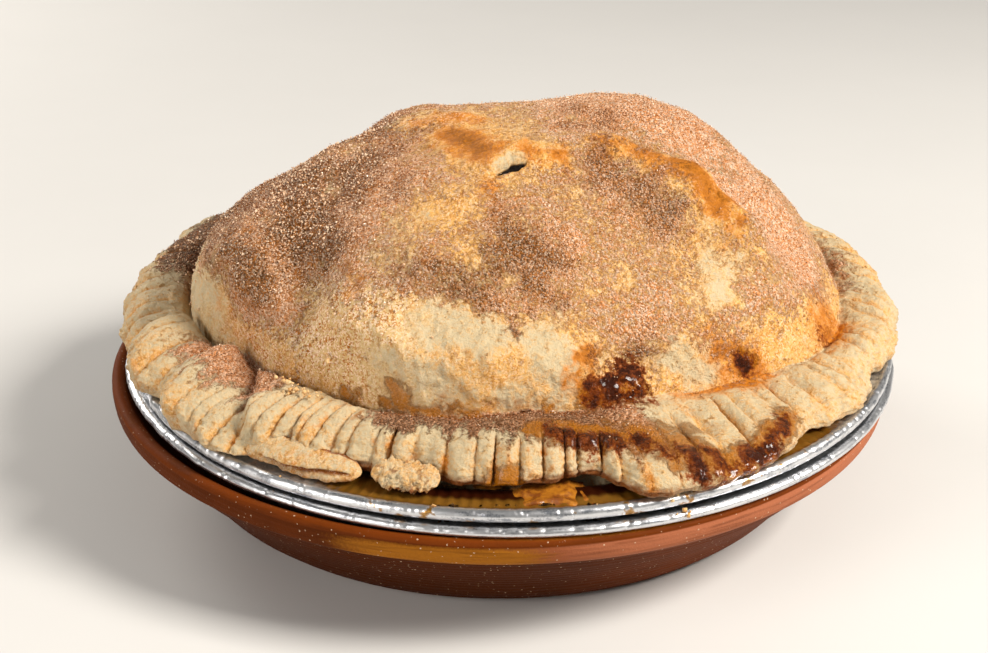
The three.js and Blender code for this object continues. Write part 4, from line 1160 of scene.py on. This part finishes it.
def shell_layers(layers):
    """Layers of a turned shell, with a zero for each of its two middle points."""
    return {key: np.concatenate([np.clip(value, 0, 1).ravel(), [0, 0]]) for key, value in layers.items()}


def build_tin(name, tin, place, seed, stained, bend=None):
    """A pressed foil tin: flat floor, sloping side, pleated flange and a rolled, crinkled rim."""
    outline, bead_first, bead_last = tin_section(tin)
    deg = np.arange(FOIL_COLUMNS)[None, :] * 360 / FOIL_COLUMNS
    r, z = outline[:, :1] + 0 * deg, outline[:, 1:] + 0 * deg
    row = np.arange(len(outline))[:, None] + 0 * deg
    on_bead = within(bead_first + 0.5, bead_last - 0.5, 1.5, row)
    at = polar(r, deg, z)
    turn = np.radians(deg)
    on_flange = ease(TIN_FLANGE_R - 2, TIN_FLANGE_R + 2, r) * (1 - on_bead)
    uneven_turn = FLANGE_PLEATS * turn + 1.6 * np.sin(7 * turn) + 1.1 * np.sin(19 * turn)
    pleat = np.sin(uneven_turn) * (0.4 + 0.9 * grain(at, 9.0, seed))
    side_pleat = np.sin(SIDE_PLEATS * turn) * 0.25 * ease(14, 34, z) * (r < TIN_FLANGE_R - 1)
    crumpled = 0.35 + 0.9 * within(190, 240, 15, deg) + 0.4 * within(110, 190, 20, deg)
    dents = 0.7 * (grain(at, 6.0, seed + 1) - 0.5) + 0.12 * (grain(at, 2.4, seed + 2) - 0.5)
    crease = bead_creases(deg + 0 * row, (row - bead_first) / (bead_last - bead_first) - 0.5, seed)
    r = r + side_pleat + on_bead * (crumpled * dents - 0.3 * crease)
    z = z + on_flange * (0.22 * pleat + 0.7 * crumpled * dents)
    z = z + on_bead * (0.6 * crumpled * dents - 0.22 * crease)
    if bend:
        middle, reach, size = bend
        r = r + size * np.exp(-0.5 * ((deg - middle) / reach) ** 2) * ease(TIN_SIDE_Z, tin["rim_z"], z)
    surface = Surface()
    numbers = surface.add(polar(r, deg, z))
    surface.quads(numbers)
    surface.fan(numbers[0], (0, 0, tin["floor_z"] + FOIL), True)
    surface.fan(numbers[-1], (0, 0, tin["floor_z"]), False)
    top = (row < bead_first + 4) * ease(TIN_FLANGE_R - 8, TIN_FLANGE_R, r)
    front = within(243, 322, 12, deg)
    patch = mottle(at, 9.0, seed + 5)
    stain = top * (0.2 + 0.8 * front) * ease(0.2, 0.5, patch + 0.4 * front) * (1 - 0.75 * on_bead)
    drips = on_bead * ease(0.6, 0.68, mottle(at, 3.4, seed + 6)) * front * 0.6
    # Painted reflection: streaks along the rim that decide where the foil is dark and where bright.
    painted_reflection = mottle(np.stack([1.1 * deg + 0 * row, 1.4 * (row + 0 * deg), 0 * row], -1), 2.6, seed + 7)
    # Painted shade: the inner tin's flange under the front of the crust is darkened in the colour of burnt
    # juice.
    burnt = stained * top * within(250, 292, 6, deg) * (1 - ease(113, 118, r))
    layers = {"stain": stained * np.maximum(stain, drips), "painted_reflection": painted_reflection, "shade": burnt}
    surface.layers = shell_layers(layers)
    piece = surface.make(name + "_foil", foil_finish(), name, place)
    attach(piece, "root")
    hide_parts(name)


def pour_juice():
    """A spill of juice that has baked onto the inner tin's flange, under the front of the crust."""
    r, deg = np.meshgrid(np.linspace(106, 121.5, 70), np.linspace(256, 284, 260), indexing="ij")
    flat = polar(r, deg, 0)
    blob = within(270, 278, 2.5, deg) + 0.35 * within(258, 283, 2, deg)
    reach = 1 - ease(117, 121, r + 3.0 * (grain(flat, 4.0, 91) - 0.5))
    thick = 2.6 * blob * reach * (0.35 + grain(flat, 4.5, 92)) - 1.1
    top = INNER_TIN["rim_z"] + INNER_TIN["bead_half_height"] - 0.3
    surface = Surface()
    rows = surface.add(polar(r, deg, top - 0.35 + np.clip(thick, -0.3, 1.4)))
    surface.quads(rows, closed=False, keep=(thick > -0.25).ravel())
    piece = surface.make("baked_juice", juice_finish(), "pie", settle_inner_tin)
    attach(piece, "root")


# Crumbs: compass angle and count of each heap on the tins' rims, then ends and count of each line of them
CRUMB_HEAPS = ((260, 16), (263, 14), (268, 10), (273, 16), (279, 14), (266, 6), (290, 6), (236, 6))
CREASE_CRUMBS = (((-70, -72, 62), (-57, -83, 62), 24), ((-60, -62, 72), (-52, -80, 68), 10))


def scatter_crumbs():
    """Crumbs of crust on the tins' rolled rims at the front, and flakes of dough in the left crease."""
    places = []
    sizes = []
    for middle, count in CRUMB_HEAPS:
        lower = random.uniform(0, 1, count) < 0.35
        up = np.radians(random.uniform(15, 105, count))
        deg = random.normal(middle, 0.9, count)
        rim_r, rim_z, half_height = [
            np.where(lower, OUTER_TIN[key], INNER_TIN[key]) for key in ("rim_r", "rim_z", "bead_half_height")]
        places.append(polar(rim_r + 2.0 * np.cos(up), deg, rim_z + half_height * np.sin(up)))
        sizes.append(random.uniform(0.3, 0.9, count))
    for start, end, count in CREASE_CRUMBS:
        share = random.uniform(0, 1, (count, 1))
        along = np.array(start) * (1 - share) + np.array(end) * share
        places.append(along + random.normal(0, 1.0, (count, 3)))
        sizes.append(random.uniform(0.4, 1.1, count))
    crumbs = angular_grains(np.concatenate(places), np.concatenate(sizes))
    piece = crumbs.make("crumbs", crystal_finish("crust_crumbs", CRUMB, 0.6), "pie", settle)
    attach(piece, "root")


def dish_section():
    """The dish's outline in steps under a millimetre, with its corners softened."""
    steps = []
    for start, end in zip(DISH_OUTLINE[1:-2], DISH_OUTLINE[2:-1]):
        steps += spaced(start, end, max(1, round(math.dist(start, end) / DISH_STEP)))
    soft = np.array([*steps, DISH_OUTLINE[-2]])
    for _ in range(3):
        soft[1:-1] = 0.25 * soft[:-2] + 0.5 * soft[1:-1] + 0.25 * soft[2:]
    return soft


def build_dish():
    """Thrown clay dish with fine turning lines."""
    soft = dish_section()
    deg = np.arange(DISH_COLUMNS)[None, :] * 360 / DISH_COLUMNS
    r, z = soft[:, :1] + 0 * deg, soft[:, 1:] + 0 * deg
    lip_row = np.argmax(soft[:, 1])
    outside = (np.arange(len(soft))[:, None] > lip_row + 3) * (z > 2)
    turn = np.radians(deg)
    lines = 0.5 * np.sin(z * 3.3 + 0.5 * np.sin(turn)) + 0.8 * (scatter(np.floor(z * 1.3)) - 0.5)
    wobble = 0.25 * np.sin(turn * 2 + 1) + 0.15 * np.sin(turn * 5)
    r = r + outside * (0.1 * lines * ease(22, 30, z) + 0.05 * lines + 0.3 * wobble - 0.35)
    surface = Surface()
    numbers = surface.add(polar(r, deg, z))
    surface.quads(numbers)
    surface.fan(numbers[0], (0, 0, soft[0, 1]), True)
    surface.fan(numbers[-1], (0, 0, 0), False)
    bearing = deg + 0 * z
    outer = outside.astype(float)
    under_rim = 0.75 * within(29, 36, 1.5, z) * outer * within(249, 276, 6, bearing)
    left = within(120, 275, 25, bearing)
    # The lip's top is ochre, less on the left, which is in painted shade.
    lip = ease(37.4, 37.9, z) * (0.7 - 0.5 * left)
    body = (1 - ease(27, 30, z)) * outer
    inner = (1 - outer) * (1 - lip)
    # The shade layer is painted shade below the rim, inside and on the left; the last layer is painted light
    # on the upper right of the outside.
    layers = {
        "blush": np.maximum(under_rim, lip), "lines": 0.5 + lines,
        "shade": body * (0.45 + 0.4 * left) + 0.45 * inner + 0.65 * left * outer,
        "painted_light": outer * (1 - left) * ease(24, 30, z),
    }
    surface.layers = shell_layers(layers)
    piece = surface.make("clay_dish", clay_finish(), "dish")
    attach(piece, "root")
    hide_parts("dish")


def build_floor():
    surface = Surface()
    corners = np.array([(-1, -1, 0), (1, -1, 0), (1, 1, 0), (-1, 1, 0)])
    numbers = surface.add(corners * FLOOR_HALF)
    surface.faces.append(numbers[None])
    surface.make("floor", floor_finish())


def soft_light(name, place, size, watts, colour):
    light = bpy.data.lights.new(name, "AREA")
    light.energy, light.size, light.color = watts, size, colour
    lamp = bpy.data.objects.new(name, light)
    lamp.location = place
    lamp.rotation_mode = "QUATERNION"
    lamp.rotation_quaternion = (Vector((0, 0, 0.05)) - Vector(place)).to_track_quat("-Z", "Y")
    bpy.context.scene.collection.objects.link(lamp)


def build_light():
    world = bpy.data.worlds.new("studio")
    bpy.context.scene.world = world
    world.use_nodes = True
    background = world.node_tree.nodes["Background"]
    background.inputs["Color"].default_value = (1.0, 0.97, 0.93, 1)
    background.inputs["Strength"].default_value = 0.17
    soft_light("key", (0.85, -0.35, 0.85), 0.4, 23, (1.0, 0.95, 0.88))
    soft_light("back", (-0.75, 0.75, 0.55), 0.5, 6.5, (1.0, 0.95, 0.88))
    soft_light("fill", (-0.85, -0.7, 0.45), 0.6, 6.8, (1.0, 0.95, 0.90))


def build_camera():
    camera_data = bpy.data.cameras.new("camera")
    camera_data.sensor_width = SENSOR_MM
    camera_data.lens = FOCAL_PIXELS * SENSOR_MM / PHOTO_WIDTH
    camera = bpy.data.objects.new("camera", camera_data)
    forward = Vector((0, math.cos(CAMERA_TILT), -math.sin(CAMERA_TILT)))
    camera.location = CAMERA_TARGET - forward * CAMERA_DISTANCE
    camera.rotation_mode = "QUATERNION"
    camera.rotation_quaternion = forward.to_track_quat("-Z", "Y")
    bpy.context.scene.collection.objects.link(camera)
    bpy.context.scene.camera = camera


build_camera()
build_light()
build_floor()
build_dish()
build_tin("outer_tin", OUTER_TIN, settle_outer_tin, 21, 0.0, RIM_BEND)
build_tin("inner_tin", INNER_TIN, settle_inner_tin, 31, 1.0)
crust_surface, crust_places, shell_vertices = build_crust()
sugar_the_crust(crust_surface, crust_places, shell_vertices)
pour_juice()
scatter_crumbs()
bpy.context.scene.view_settings.view_transform = "Standard"
